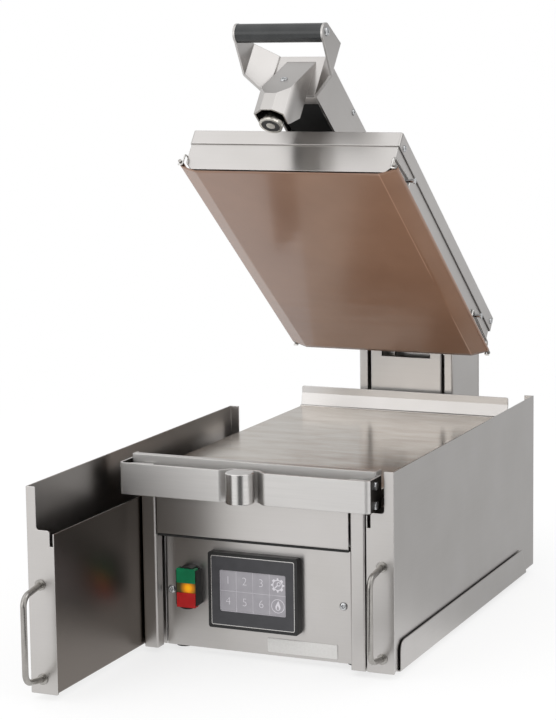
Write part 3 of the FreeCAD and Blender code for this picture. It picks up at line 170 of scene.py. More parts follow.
def looks(tree):
    """The light path's outputs, and whether a mirror or a clear body looks and not the camera."""
    ray = add(tree, "LightPath").outputs
    mirror = add(tree, "Math", {0: ray["Is Glossy Ray"], 1: ray["Is Transmission Ray"]}, operation="MAXIMUM")
    return ray, mirror


def shade(tree, way, side, spread, deepest):
    """Brightness that falls from 1 to its deepest value as a direction turns towards that side."""
    turned = add(tree, "VectorMath", {0: way, 1: side}, operation="DOT_PRODUCT")
    return add(tree, "MapRange",
               {"Value": turned, "From Min": spread[0], "From Max": spread[1], "To Min": 1.0,
                "To Max": deepest}, **EASED)


scene.view_settings.view_transform = "Standard"
scene.world = bpy.data.worlds.new("studio")
scene.world.use_nodes = True
room = scene.world.node_tree
room.nodes.clear()
ray, mirror = looks(room)
way = add(room, "TexCoord").outputs["Generated"]
walls = add(room, "Math",
            {0: shade(room, way, SHADED_SIDE, (0.2, 1.0), 0.45),
             1: shade(room, way, CAMERA_SIDE, (0.8, 0.98), 0.5)}, operation="MINIMUM")
mirrored = add(room, "Background", {"Color": walls})
lit = add(room, "Background", {"Color": WHITE, "Strength": 0.85})
white = add(room, "Background", {"Color": WHITE})
unseen = add(room, "MixShader", {0: mirror, 1: lit, 2: mirrored})
either = add(room, "MixShader", {0: ray["Is Camera Ray"], 1: unseen, 2: white})
add(room, "OutputWorld", {0: either})
print("room with", len(room.nodes), "nodes")

# %% [markdown]
# ## The floor
# The floor is white paper. It adds a little light of its own only where the camera or a mirror looks at it, so it
# is white and still takes the machine's shadow. In mirror images it is shaded towards the same two sides as the
# room. The dark side starts at the machine's front foot, so the front of the cabinet still mirrors bright paper.

# %% The floor
FLOOR_HALF = 40.0
FRONT_FOOT = (0.06, -0.35, 0.0)
floor_mesh = bpy.data.meshes.new("studio_floor")
shape = bmesh.new()
bmesh.ops.create_grid(shape, x_segments=2, y_segments=2, size=FLOOR_HALF)
shape.to_mesh(floor_mesh)
shape.free()
floor = bpy.data.objects.new("studio_floor", floor_mesh)
scene.collection.objects.link(floor)
paper, tree = new_finish("matt_white_backdrop_paper")
ray, mirror = looks(tree)
looked_at = add(tree, "Math", {0: ray["Is Camera Ray"], 1: mirror}, operation="MAXIMUM")
place = add(tree, "TexCoord").outputs["Object"]
distance = add(tree, "VectorMath", {0: place}, operation="LENGTH")
far = add(tree, "MapRange", {"Value": distance, "From Min": 0.7, "From Max": 2.2}, **EASED)
deepest = add(tree, "MapRange",
              {"Value": distance, "From Min": 2.2, "From Max": 6.0, "To Min": 0.6, "To Max": 0.9})
outward = add(tree, "VectorMath", {0: place}, operation="NORMALIZE")
from_front = add(tree, "VectorMath", {0: place, 1: FRONT_FOOT}, operation="SUBTRACT")
frontward = add(tree, "VectorMath", {0: from_front}, operation="NORMALIZE")
walls = add(tree, "Math",
            {0: shade(tree, outward, SHADED_SIDE, (0.2, 1.0), deepest),
             1: shade(tree, frontward, CAMERA_SIDE, (0.86, 0.98), 0.1)}, operation="MINIMUM")
level = add(tree, "Math", {0: walls, 1: ray["Is Camera Ray"]}, operation="MAXIMUM")
plain = add(tree, "BsdfDiffuse", {"Color": linear("#E8E8E6")})
shaded = add(tree, "BsdfDiffuse", {"Color": linear("#999999")})
near_glow = add(tree, "Emission", {"Color": WHITE, "Strength": 0.72})
far_glow = add(tree, "Emission", {"Color": WHITE})
unlit = add(tree, "Emission", {"Strength": 0.0})
near = add(tree, "AddShader", {0: shaded, 1: near_glow})
whole = add(tree, "MixShader", {0: far, 1: near, 2: far_glow})
bright = add(tree, "MixShader", {0: level, 1: unlit, 2: whole})
either = add(tree, "MixShader", {0: looked_at, 1: plain, 2: bright})
add(tree, "OutputMaterial", {0: either})
floor_mesh.materials.append(paper)
print("floor", 2 * FLOOR_HALF, "m wide")

# %% [markdown]
# ## The lamps
# Three large soft lamps: the main one from the upper left, one low in front, and a weak one from the right. They
# are large so that their images in the steel have no edge.


# %% The lamps
def soft_box(name, place, target, size, watts):
    """A square lamp that faces its target."""
    lamp = bpy.data.lights.new(name, "AREA")
    lamp.shape = "SQUARE"
    lamp.size = size
    lamp.energy = watts
    made = bpy.data.objects.new(name, lamp)
    scene.collection.objects.link(made)
    made.location = place
    made.rotation_euler = (Vector(target) - Vector(place)).to_track_quat("-Z", "Y").to_euler()


soft_box("key_lamp", (-1.4, -1.6, 3.2), (0, 0, 0.45), 3.0, 13)
soft_box("front_lamp", (-1.7, -3.6, 1.1), (0, 0, 0.3), 2.2, 15)
soft_box("right_lamp", (1.75, -0.1, 2.4), (0, -0.1, 0.6), 1.6, 7)
print("lamps", [lamp.name for lamp in bpy.data.lights])

# %% [markdown]
# ## Brushed stainless sheet
# Nearly every panel is stainless sheet with a brushed finish. The belt leaves fine parallel lines, so a highlight
# is drawn out across them and stays narrow along them. The real lines are about a tenth of a millimetre wide, too
# fine for this picture, so they are drawn 1.5 mm wide. They run along the front on faces that look forward or up,
# and from front to back on faces that look sideways. The head's sheets were brushed flat and then tilted with it.
# The nose round the magnet was cut the other way round, so its lines run down it and its shine goes sideways. Its
# cheeks are rolled and not folded sharply: the recipe turns the surface's normal evenly from the front to the back.
# The trays' walls that face the griddle are painted a darker brown-grey: painted shade for the narrow gap beside
# the cabinet.

# %% Brushed stainless sheet
LINE_WIDTH = 1.5 * MM
LINE_LENGTH = 160 * MM
CLOUD_SIZE = 90 * MM
FOLD_ROUNDING = 1.2 * MM
SIDEWAYS = 0.75
CHEEK = 0.5
TO_WORLD = {"convert_from": "OBJECT", "convert_to": "WORLD"}


def brush_lines(tree, flat, sideways, lines_down):
    """Fine streaks along the front, and from front to back on faces that look sideways, or down on all faces."""
    down = (LINE_WIDTH, LINE_WIDTH, LINE_LENGTH)
    forward_size = down if lines_down else (LINE_LENGTH, LINE_WIDTH, LINE_WIDTH)
    sideways_size = down if lines_down else (LINE_WIDTH, LINE_LENGTH, LINE_WIDTH)
    lines = []
    for size in (forward_size, sideways_size):
        drawn = add(tree, "Mapping", {"Vector": flat, "Scale": [1 / side for side in size]})
        lines.append(add(tree, "TexNoise", {"Vector": drawn, "Scale": 1.0, "Detail": 2.0}))
    return add(tree, "Mix", {0: sideways, 1: lines[0], 2: lines[1]})


def rolled_cheeks(tree, spot, away, tilt, roll, normal):
    """The normal, turned evenly from the front end of the roll to its back end on faces that look to a side."""
    turn = add(tree, "MapRange",
               {"Value": spot.outputs["Y"], "From Min": roll[0], "From Max": roll[1],
                "To Min": math.radians(45), "To Max": math.radians(90)}, **EASED)
    sine = add(tree, "Math", {0: turn}, operation="SINE")
    cosine = add(tree, "Math", {0: turn}, operation="COSINE")
    side = add(tree, "Math", {0: spot.outputs["X"]}, operation="SIGN")
    sideward = add(tree, "Math", {0: sine, 1: side}, operation="MULTIPLY")
    forward = add(tree, "Math", {0: cosine, 1: -1.0}, operation="MULTIPLY")
    rolled = add(tree, "CombineXYZ", {0: sideward, 1: forward})
    tilted = add(tree, "VectorRotate", {"Vector": rolled, "Angle": -tilt}, rotation_type="X_AXIS")
    outer = add(tree, "VectorTransform", {0: tilted}, vector_type="NORMAL", **TO_WORLD)
    cheek = add(tree, "Math", {0: away, 1: CHEEK}, operation="GREATER_THAN")
    return add(tree, "Mix", {0: cheek, 1: normal, 2: outer}, data_type="VECTOR")


def brushed_stainless(name, lay_flat, gloss=(0.28, 0.3), lines_down=False, painted_shade_reach=None, roll=None):
    """Brushed sheet: grey with a warm cast, long soft highlights, and edges coloured lighter, partly as polish and
    partly as a painted highlight.
    """
    material, tree = new_finish(name)
    place = add(tree, "TexCoord").outputs
    tilt = lay_flat.to_euler().x
    flat = add(tree, "Mapping",
               {"Vector": place["Object"], "Location": lay_flat.translation, "Rotation": (tilt, 0, 0)})
    spot = add(tree, "SeparateXYZ", {0: flat})
    facing = add(tree, "SeparateXYZ", {0: place["Normal"]})
    away = add(tree, "Math", {0: facing.outputs["X"]}, operation="ABSOLUTE")
    sideways = add(tree, "Math", {0: away, 1: SIDEWAYS}, operation="GREATER_THAN")
    brushed = brush_lines(tree, flat, sideways, lines_down)
    cloud = add(tree, "TexNoise", {"Vector": flat, "Scale": 1 / CLOUD_SIZE, "Detail": 2.0})
    tone = add(tree, "Math", {0: brushed, 1: 0.35, 2: cloud}, operation="MULTIPLY_ADD", use_clamp=True)
    tint = add(tree, "MapRange", {"Value": tone, "From Min": 0.4, "From Max": 0.95})
    steel = add(tree, "Mix", {0: tint, 1: linear("#B8B5B2"), 2: linear("#BFBCBA")}, **RGBA)
    normal = add(tree, "Bevel", {"Radius": FOLD_ROUNDING}, samples=4)
    true_normal = add(tree, "NewGeometry").outputs["True Normal"]
    turned = add(tree, "VectorMath", {0: normal, 1: true_normal}, operation="DOT_PRODUCT")
    # Partly polish, partly painted highlight: the rounded edges of the sheet are coloured lighter.
    edge = add(tree, "MapRange", {"Value": turned, "From Min": 0.99, "From Max": 0.85, "To Max": 0.7})
    colour = add(tree, "Mix", {0: edge, 1: steel, 2: linear("#E2E0DE")}, **RGBA)
    if painted_shade_reach is not None:
        # Painted shade: sideways faces nearer the middle than the reach, the trays' inner walls, get a darker
        # brown-grey colour.
        out = add(tree, "Math", {0: spot.outputs["X"]}, operation="ABSOLUTE")
        near = add(tree, "Math", {0: out, 1: painted_shade_reach}, operation="LESS_THAN")
        share = add(tree, "Math", {0: near, 1: sideways}, operation="MULTIPLY")
        colour = add(tree, "Mix", {0: share, 1: colour, 2: linear("#716A64")}, **RGBA)
    rough = add(tree, "MapRange", {"Value": tint, "To Min": gloss[1], "To Max": gloss[0]})
    if roll is not None:
        normal = rolled_cheeks(tree, spot, away, tilt, roll, normal)
    relief = add(tree, "Bump", {"Strength": 0.02, "Distance": 0.15 * MM, "Height": brushed, "Normal": normal})
    upright = Matrix.Rotation(-tilt, 3, "X") @ Vector((0, 0.02, 1))
    across = upright
    if lines_down:
        across = add(tree, "VectorMath", {0: place["Normal"], 1: upright}, operation="CROSS_PRODUCT")
    tangent = add(tree, "VectorTransform", {0: across}, vector_type="VECTOR", **TO_WORLD)
    surface(tree, {"Base Color": colour, "Metallic": 1.0, "Roughness": rough, "Anisotropic": 0.6,
                   "Tangent": tangent, "Normal": relief})
    return material


hinge = next(joint for joint in frame["joints"] if joint["name"] == "head_hinge")
HINGE = Vector(hinge["pos_m"])
OPEN_TILT = math.radians(hinge["range_deg"][1])
OPENED = Matrix.Translation(HINGE) @ Matrix.Rotation(-OPEN_TILT, 4, "X") @ Matrix.Translation(-HINGE)
CLOSED = OPENED.inverted()
sheet_steel = brushed_stainless("brushed_stainless_sheet", Matrix())
head_steel = brushed_stainless("brushed_stainless_sheet_of_the_head", CLOSED)
nose_steel = brushed_stainless("brushed_stainless_sheet_of_the_nose", CLOSED, (0.34, 0.38), lines_down=True,
                               roll=(-268 * MM, -222 * MM))
# The trays' inner walls take painted shade.
tray_steel = brushed_stainless("brushed_stainless_tray_with_painted_shade", Matrix(), painted_shade_reach=161 * MM)
print("finishes so far", len(bpy.data.materials))

# %% [markdown]
# ## Plain metals
# The smaller metal parts differ only in how their surface was made: ground, turned, plated, drawn or cast. Each
# keeps the metal's own colour and gets a grain of the right size, which varies the gloss and adds a little relief.

# %% Plain metals
NOISE_SPAN = {"From Min": 0.2, "From Max": 0.8}


def worked_metal(name, dark, light, gloss, grain, relief, metallic=1.0, rounding=0.4, painted_shade_ends=None):
    """A metal with a grain of that size (x, y, z), gloss between two roughness values, and low relief."""
    material, tree = new_finish(name)
    place = add(tree, "TexCoord").outputs
    drawn = add(tree, "Mapping", {"Vector": place["Object"], "Scale": [1 / (side * MM) for side in grain]})
    pattern = add(tree, "TexNoise", {"Vector": drawn, "Scale": 1.0, "Detail": 4.0, "Roughness": 0.6})
    patch = add(tree, "MapRange", {"Value": pattern, **NOISE_SPAN}, **EASED)
    metal = add(tree, "Mix", {0: patch, 1: linear(dark), 2: linear(light)}, **RGBA)
    # Painted shade: faces that look sideways, the bar's ends, are coloured near black.
    if painted_shade_ends is not None:
        facing = add(tree, "SeparateXYZ", {0: place["Normal"]})
        away = add(tree, "Math", {0: facing.outputs["X"]}, operation="ABSOLUTE")
        end = add(tree, "MapRange", {"Value": away, "From Min": 0.9, "From Max": 0.98})
        metal = add(tree, "Mix", {0: end, 1: metal, 2: linear(painted_shade_ends)}, **RGBA)
    rough = add(tree, "MapRange", {"Value": patch, "To Min": gloss[1], "To Max": gloss[0]})
    rounded = add(tree, "Bevel", {"Radius": rounding * MM}, samples=4)
    uneven = add(tree, "Bump", {"Strength": relief, "Distance": 0.2 * MM, "Height": pattern, "Normal": rounded})
    surface(tree, {"Base Color": metal, "Metallic": metallic, "Roughness": rough, "Normal": uneven})
    return material


# Ground steel that has been hot: a satin plate with broad, faintly brown patches.
griddle_steel = worked_metal("ground_griddle_steel", "#C9BFB4", "#D8D2CA", (0.15, 0.25), (80, 24, 24), 0.04)
# Turned bar: satin, with narrow rings round it that draw the highlight out.
turned_bar = worked_metal("turned_stainless_bar", "#CBC9C7", "#D5D3D1", (0.22, 0.27), (30, 30, 3), 0.01)
# Flat bar, bent and belt-sanded to an even satin that mirrors almost nothing. The front bar's two end faces stand
# close to the cabinet's ears in deep shade, which is painted on them as a near-black colour.
SANDED = {"dark": "#CFCDCB", "light": "#D5D3D1", "gloss": (0.46, 0.5), "grain": (150, 5, 5), "relief": 0.01,
          "rounding": 1.5}
satin_bar = worked_metal("belt_sanded_stainless_flat_bar", **SANDED)
front_satin_bar = worked_metal("belt_sanded_flat_bar_with_painted_shade_on_its_ends", **SANDED, painted_shade_ends="#3B3734")
# Drawn rod, bent into handles and hem rods: satin, with a soft highlight along it.
drawn_rod = worked_metal("drawn_stainless_rod", "#96938F", "#A9A6A2", (0.16, 0.24), (4, 4, 20), 0.03)
# Zinc-plated screws: a cool, slightly cloudy shine.
zinc_plate = worked_metal("zinc_plated_bolt_steel", "#B4B6B8", "#CFD0D1", (0.18, 0.26), (2, 2, 2), 0.08)
# Heating tubes: nickel alloy, oxidised to a dull grey-brown.
heater_tube = worked_metal("oxidised_heater_tube", "#4B433C", "#6A6058", (0.45, 0.6), (6, 6, 6), 0.15)
# Spring wire: drawn bright, with a fine, even grain.
spring_wire = worked_metal("drawn_spring_wire", "#C4C2BF", "#E0DEDB", (0.14, 0.24), (3, 3, 3), 0.04)
# Hot plate: a cast plate, blackened by burnt fat.
cast_plate = worked_metal("fat_blackened_cast_plate", "#2B241F", "#453B33", (0.4, 0.55), (25, 12, 12), 0.15)
# Magnet shell: steel with a bright nickel plate.
nickel_plate = worked_metal("nickel_plated_magnet_steel", "#C6C2BA", "#DDDAD3", (0.14, 0.26), (5, 5, 5), 0.05)
print("with the plain metals", len(bpy.data.materials))

# %% [markdown]
# ## Plastics, rubber and wool
# Moulded plastic takes the fine spark texture of its mould: tiny pits that spread the highlight. A clear colour
# like the push-buttons' is smoother. The same recipe with coarser pits and no shine serves for rubber, cast resin
# and the fibre board inside.

# %% Plastics, rubber and wool
HAZE_SIZE = 18 * MM
MOULD_ROUNDING = 0.6 * MM


def moulded(name, dark, light, gloss, pit, relief, glow=0.0, clear=0.0):
    """A moulded surface with pits of that size in millimetres and gloss between two roughness values."""
    material, tree = new_finish(name)
    place = add(tree, "TexCoord").outputs["Object"]
    pits = add(tree, "TexNoise", {"Vector": place, "Scale": 1 / (pit * MM), "Detail": 3.0, "Roughness": 0.65})
    haze = add(tree, "TexNoise", {"Vector": place, "Scale": 1 / HAZE_SIZE, "Detail": 2.0})
    tint = add(tree, "MapRange", {"Value": haze, **NOISE_SPAN}, **EASED)
    body = add(tree, "Mix", {0: tint, 1: linear(dark), 2: linear(light)}, **RGBA)
    rough = add(tree, "MapRange", {"Value": tint, "To Min": gloss[0], "To Max": gloss[1]})
    rounded = add(tree, "Bevel", {"Radius": MOULD_ROUNDING}, samples=4)
    uneven = add(tree, "Bump", {"Strength": relief, "Distance": 0.1 * MM, "Height": pits, "Normal": rounded})
    surface(tree, {"Base Color": body, "Roughness": rough, "IOR": 1.5, "Coat Weight": clear,
                   "Emission Color": linear(light), "Emission Strength": glow, "Normal": uneven})
    return material


black_plastic = moulded("spark_textured_black_ABS", "#0E0E0E", "#191919", (0.35, 0.5), 0.8, 0.2)
bezel_plastic = moulded("printed_dark_grey_bezel_film", "#3B3B3F", "#434347", (0.3, 0.42), 0.6, 0.1)
green_plastic = moulded("clear_moulded_green_polycarbonate", "#08754C", "#0B8557", (0.2, 0.26), 1.5, 0.05)
red_plastic = moulded("clear_moulded_red_polycarbonate", "#C01E20", "#CE282A", (0.2, 0.26), 1.5, 0.05)
grip_plastic = moulded("turned_black_phenolic", "#282A2B", "#343637", (0.2, 0.26), 1.2, 0.08)
foot_rubber = moulded("moulded_foot_rubber", "#1B1B1B", "#2A2A2A", (0.7, 0.85), 1.0, 0.4)
coil_resin = moulded("cast_black_coil_resin", "#131314", "#1E1E20", (0.3, 0.5), 1.0, 0.2)
fibre_board = moulded("pressed_mineral_wool", "#B9AF93", "#CFC7B0", (0.9, 1.0), 2.5, 0.9)
screen_glass = moulded("lit_screen_behind_glass", "#96939A", "#A3A0A6", (0.12, 0.2), 2.0, 0.0, glow=0.16, clear=0.5)
print("with the plastics", len(bpy.data.materials))

# %% [markdown]
# ## The pilot lens
# Between the two push-buttons sits a clear amber window with a small lamp behind it. Only the middle is bright: the
# glow falls off from the lamp, which sits a little to the right, to a dark olive at the ends.

# %% The pilot lens
lens_low, lens_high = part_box("pilot_lens")
lamp_spot = (lens_low + lens_high) / 2 + Vector((3, 0, 0)) * MM
amber_lens, tree = new_finish("lit_amber_polycarbonate")
place = add(tree, "TexCoord").outputs["Object"]
off = add(tree, "VectorMath", {0: place, 1: lamp_spot}, operation="DISTANCE")
spread = add(tree, "MapRange", {"Value": off, "From Min": 15 * MM, "From Max": 7 * MM}, **EASED)
spot = add(tree, "MapRange", {"Value": off, "From Min": 10 * MM, "From Max": 5 * MM}, **EASED)
amber = add(tree, "Mix", {0: spread, 1: linear("#39371A"), 2: linear("#D9860B")}, **RGBA)
bright = add(tree, "Mix", {0: spot, 1: amber, 2: linear("#FFB911")}, **RGBA)
surface(tree, {"Base Color": bright, "Roughness": 0.22, "IOR": 1.58, "Emission Color": bright,
               "Emission Strength": 0.45})
print("lamp behind the lens at", [round(value / MM, 1) for value in lamp_spot])

# %% [markdown]
# ## A finish for every CAD part
# Each CAD part names the material slot it was made in. The table gives every slot its finish, and the head's
# sheets take the tilted brush lines.

# %% A finish for every CAD part
FINISHES = {
    "stainless_brushed": sheet_steel, "griddle_steel": griddle_steel, "polished_steel": turned_bar,
    "bolt_steel": zinc_plate, "heater_steel": heater_tube, "spring_steel": spring_wire,
    "platen_metal": cast_plate, "magnet_steel": nickel_plate, "coil_resin": coil_resin,
    "black_plastic": black_plastic, "dark_grey_plastic": black_plastic, "screen_glass": screen_glass,
    "green_plastic": green_plastic, "red_plastic": red_plastic, "amber_lens": amber_lens,
    "grip_plastic": grip_plastic, "foot_rubber": foot_rubber, "mineral_wool": fibre_board,
}
OWN_FINISH = {
    "left_tray_handle": drawn_rod, "right_tray_handle": drawn_rod, "clip_rods": drawn_rod,
    "front_bar": front_satin_bar, "front_lip": satin_bar,
    "magnet_hood": nose_steel, "left_tray": tray_steel, "right_tray": tray_steel,
}
for name, part in nodes.items():
    slot_name = part.data.materials[0].name
    if name in OWN_FINISH:
        part.data.materials[0] = OWN_FINISH[name]
    elif slot_name == "stainless_brushed" and part["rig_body"] == "head":
        part.data.materials[0] = head_steel
    elif slot_name in FINISHES:
        part.data.materials[0] = FINISHES[slot_name]
print("finished", len(nodes), "CAD parts")

# %% [markdown]
# ## Placing pieces on the tilted head
# The head stands open, tilted back about its hinge. It is easier to model its pieces as if it were closed and flat,
# and to tilt them at the end by the same turn. One helper measures a part of the head as it lies closed. Another
# turns a finished bmesh into an object that rides on its body.

# %% Placing pieces
SORT_WAY = (1, 1.7, 2.9)


def closed_box(part):
    """Lowest and highest corner of a part of the head, as it lies when the head is closed."""
    corners = [CLOSED @ vertex.co for vertex in nodes[part].data.vertices]
    return [Vector([pick(values) for values in zip(*corners)]) for pick in (min, max)]


def finished_piece(name, shape, material, body, smooth=False):
    """The bmesh as an object at the origin with its finish, riding on a body. Its faces are put in one order,
    because drawing faces out leaves them in another order each run."""
    mesh = bpy.data.meshes.new(name)
    bmesh.ops.recalc_face_normals(shape, faces=shape.faces)
    for face in shape.faces:
        face.smooth = smooth
    shape.faces.sort(key=lambda face: face.calc_center_median().dot(SORT_WAY))
    shape.to_mesh(mesh)
    shape.free()
    mesh.materials.append(material)
    piece = bpy.data.objects.new(name, mesh)
    scene.collection.objects.link(piece)
    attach(piece, body)
    print("made", name, len(mesh.polygons), "faces")
    return piece


print("the head stands open by", round(math.degrees(OPEN_TILT), 1), "degrees")

# %% [markdown]
# ## The release sheet's cloth
# The sheet is glass cloth soaked in a brown non-stick resin and baked. The resin fills the weave almost flush, so
# it shines like satin and the threads only just show. The threads lie about half a millimetre apart, too fine for
# this picture, so they are drawn 4.5 mm apart and very shallow. Heat and fat leave soft darker clouds.
# Along the hard fold on the right a fine pale line is painted in as a highlight, except where the cloth hangs
# smoother.

# %% The release sheet's cloth
THREAD = 4.5 * MM
WAVE_BAND = 0.314
FOLD_SIDE = 131.3 * MM
FOLD_HIGHLIGHT_AT = FOLD_SIDE + 0.9 * MM
SMOOTHED_AT = 70 * MM
STAIN_SIZE = 120 * MM
release_cloth, tree = new_finish("resin_coated_glass_cloth")
cut = add(tree, "UVMap", uv_map="cut")
warp, weft = (add(tree, "TexWave", {"Vector": cut, "Scale": WAVE_BAND / THREAD},
                  bands_direction=turn).outputs["Fac"] for turn in ("X", "Y"))
weave = add(tree, "Math", {0: warp, 1: weft}, operation="ADD")
stain = add(tree, "TexNoise", {"Vector": cut, "Scale": 1 / STAIN_SIZE, "Detail": 3.0, "Roughness": 0.55})
tint = add(tree, "MapRange", {"Value": stain, **NOISE_SPAN}, **EASED)
brown = add(tree, "Mix", {0: tint, 1: linear("#906A53"), 2: linear("#9E775F")}, **RGBA)
on_cut = add(tree, "SeparateXYZ", {0: cut})
beside, behind = (add(tree, "Math", {0: on_cut.outputs[axis], 1: middle}, operation="SUBTRACT")
                  for axis, middle in (("X", FOLD_HIGHLIGHT_AT), ("Y", SMOOTHED_AT)))
off_line, off_smooth = (add(tree, "Math", {0: gap}, operation="ABSOLUTE") for gap in (beside, behind))
# Painted highlight: a pale line along the right fold, fading where the cloth hangs smoother.
line = add(tree, "MapRange", {"Value": off_line, "From Min": 1.3 * MM, "From Max": 0.2 * MM}, **EASED)
kept = add(tree, "MapRange",
           {"Value": off_smooth, "From Min": 30 * MM, "From Max": 80 * MM, "To Max": 0.7}, **EASED)
painted_fold_highlight = add(tree, "Math", {0: line, 1: kept}, operation="MULTIPLY")
brown = add(tree, "Mix", {0: painted_fold_highlight, 1: brown, 2: linear("#C79F89")}, **RGBA)
rough = add(tree, "MapRange", {"Value": tint, "To Min": 0.29, "To Max": 0.36})
relief = add(tree, "Bump", {"Strength": 0.03, "Distance": 0.1 * MM, "Height": weave})
surface(tree, {"Base Color": brown, "Roughness": rough, "IOR": 1.45, "Specular IOR Level": 0.75,
               "Coat Weight": 0.6, "Coat Roughness": 0.12, "Coat IOR": 1.6, "Normal": relief})
print("cloth with threads", round(THREAD / MM, 1), "mm apart")

# %% [markdown]
# ## The release sheet
# The sheet is cut as a rectangle, laid under the hot plate, drawn up at both sides and hemmed round a rod. So it
# starts here as a flat grid of its cut size, and every point is then folded to where it lies along that path, which
# keeps the cloth's length true. It is slack towards the back, where low waves cross it. The folds are sharp at the
# ends, where the rods pull, and soft in between.

# %% The release sheet
from mathutils import noise

CLOTH = 0.25 * MM
CLOTH_GAP = 0.05 * MM
CLOTH_GRID = (400, 84)
SHARP_BEND = 1.2 * MM
SOFT_BEND = 5 * MM
ROLL_RADIUS = 2.9 * MM
HEM_DROP = math.radians(48)
HEM_GAP = 0.45 * MM
HEM_TAIL = (ROLL_RADIUS * (1 + math.cos(HEM_DROP)) - HEM_GAP) / math.sin(HEM_DROP)
HEM_LAP = 3.5 * MM
SLACK = 0.38 * MM
TIGHT_SHARE = 0.35
LOOSE_FROM, LOOSE_OVER = 0.65, 0.12
WAVE_LENGTH, WAVE_DEPTH = 110 * MM, 16 * MM
WAVE_SLICE, WAVE_STEEPNESS = 3.0, 1.6
rod_low, rod_high = closed_box("clip_rods")
rod_radius = (rod_high.z - rod_low.z) / 2
rod = Vector((rod_high.x - rod_radius, rod_low.z + rod_radius))
cloth_low, cloth_high = closed_box("release_sheet")
under = closed_box("upper_platen")[0].z - CLOTH / 2 - CLOTH_GAP
roll = ROLL_RADIUS * (math.pi + HEM_DROP)


def along(start, angle, run):
    """The point that lies a run away from the start, at that angle above the side."""
    return start + Vector((math.cos(angle), math.sin(angle))) * run


def bent(run, turn):
    """Where the cloth gets to on an even bend of that length and turn, which starts at the plate's edge."""
    return Vector((FOLD_SIDE, under)) + Vector((math.sin(turn), 1 - math.cos(turn))) * run / turn


def flap_from(bend):
    """Lean and length of the straight flap from the end of a bend to where it touches the roll."""
    low, high = 0.01, 1.0
    for _ in range(40):
        lean = (low + high) / 2
        to_rod = rod - bent(bend, lean)
        if to_rod.y * math.cos(lean) - to_rod.x * math.sin(lean) > ROLL_RADIUS:
            low = lean
        else:
            high = lean
    return lean, to_rod.x * math.cos(lean) + to_rod.y * math.sin(lean)


def folded(run, bend, lean, flap):
    """Side and height of the point that lies that run along the cloth from its middle."""
    left = abs(run) - FOLD_SIDE
    if left <= 0:
        return Vector((run, under))
    at = bent(min(left, bend), lean * min(left / bend, 1))
    left -= bend
    if left > 0:
        at = along(at, lean, min(left, flap))
        left -= flap
    if left > 0:
        turn = lean + min(left, roll) / ROLL_RADIUS
        at = rod + Vector((math.sin(turn), -math.cos(turn))) * ROLL_RADIUS
        left -= roll
    if left > 0:
        at = along(at, lean + math.pi + HEM_DROP, min(left, HEM_TAIL))
        left -= HEM_TAIL
    if left > 0:
        at = along(at, lean + math.pi, left)
    return Vector((math.copysign(at.x, run), at.y))


def wave(side, depth):
    """Share of the slack by which the cloth hangs off the plate there."""
    back = (depth - cloth_low.y) / cut_length
    loose = TIGHT_SHARE + (1 - TIGHT_SHARE) * (0.5 + 0.5 * math.tanh((back - LOOSE_FROM) / LOOSE_OVER))
    ripple = noise.noise(Vector((side / WAVE_LENGTH, depth / WAVE_DEPTH, WAVE_SLICE)))
    return loose * (0.5 + 0.5 * math.tanh(WAVE_STEEPNESS * ripple))


end_flap = flap_from(SHARP_BEND)[1]
cut_width = 2 * (FOLD_SIDE + SHARP_BEND + end_flap + roll + HEM_TAIL + HEM_LAP)
cut_length = cloth_high.y - cloth_low.y
middle = (cloth_low.y + cloth_high.y) / 2
shape = bmesh.new()
bmesh.ops.create_grid(shape, x_segments=CLOTH_GRID[0], y_segments=CLOTH_GRID[1], size=0.5,
                      matrix=Matrix.Diagonal((cut_width, cut_length, 1, 1)))
cut_map = shape.loops.layers.uv.new("cut")
for face in shape.faces:
    for loop in face.loops:
        loop[cut_map].uv = loop.vert.co.xy
rows = {}
for vertex in shape.verts:
    run, row = vertex.co.x, round(vertex.co.y, 6)
    if row not in rows:
        bend = SHARP_BEND + (SOFT_BEND - SHARP_BEND) * (1 - (2 * row / cut_length) ** 2) ** 3
        rows[row] = (bend, *flap_from(bend))
    bend, lean, flap = rows[row]
    at = folded(run, bend, lean, flap)
    free = max(0.0, min(1.0, 1 - (abs(run) - FOLD_SIDE) / (bend + flap)))
    hang = SLACK * free * wave(run, row + middle)
    vertex.co = Vector((at.x, row + middle, at.y - hang))
bmesh.ops.transform(shape, matrix=OPENED, verts=shape.verts)
release_sheet = finished_piece("release_sheet_cloth", shape, release_cloth, "head", smooth=True)
thickness = release_sheet.modifiers.new("cloth_thickness", "SOLIDIFY")
thickness.thickness = CLOTH
thickness.offset = 0
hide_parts("release_sheet")
print("cloth cut", round(cut_width / MM, 1), "by", round(cut_length / MM, 1), "mm")

# %% [markdown]
# ## The spring clips
# Four bent wires pull the rods towards the hot plate. A wire hooks over a stud on the side wall with a short finger
# end, runs down along the wall to the rod's end, drops behind the rod and hooks under it. It is drawn as a line of
# corners; a smooth spline with two extra points beside each corner rounds it there and stays straight in between.

# %% The spring clips
WIRE_RADIUS = 1.25 * MM
WIRE_CORNER = 3.0 * MM
CORNER_SHARE = 0.45
WIRE_OVER = 4.4 * MM
WALL_GAP = 0.4 * MM
ROD_GAP = 0.2 * MM
ROD_INSET = 2.5 * MM
FINGER = 9 * MM
PAST_STUD = 3 * MM
OFF_WALL = (6 * MM, 14 * MM)
HOOK_TOP = 11 * MM
HOOK_OUT = 2 * MM


def add_drawn(shape, curve, place):
    """Adds what a curve or a text draws to the shape, as mesh."""
    drawn = bpy.data.objects.new("drawn", curve)
    mesh = bpy.data.meshes.new_from_object(drawn)
    mesh.transform(place)
    shape.from_mesh(mesh)
    bpy.data.objects.remove(drawn)
    bpy.data.meshes.remove(mesh)


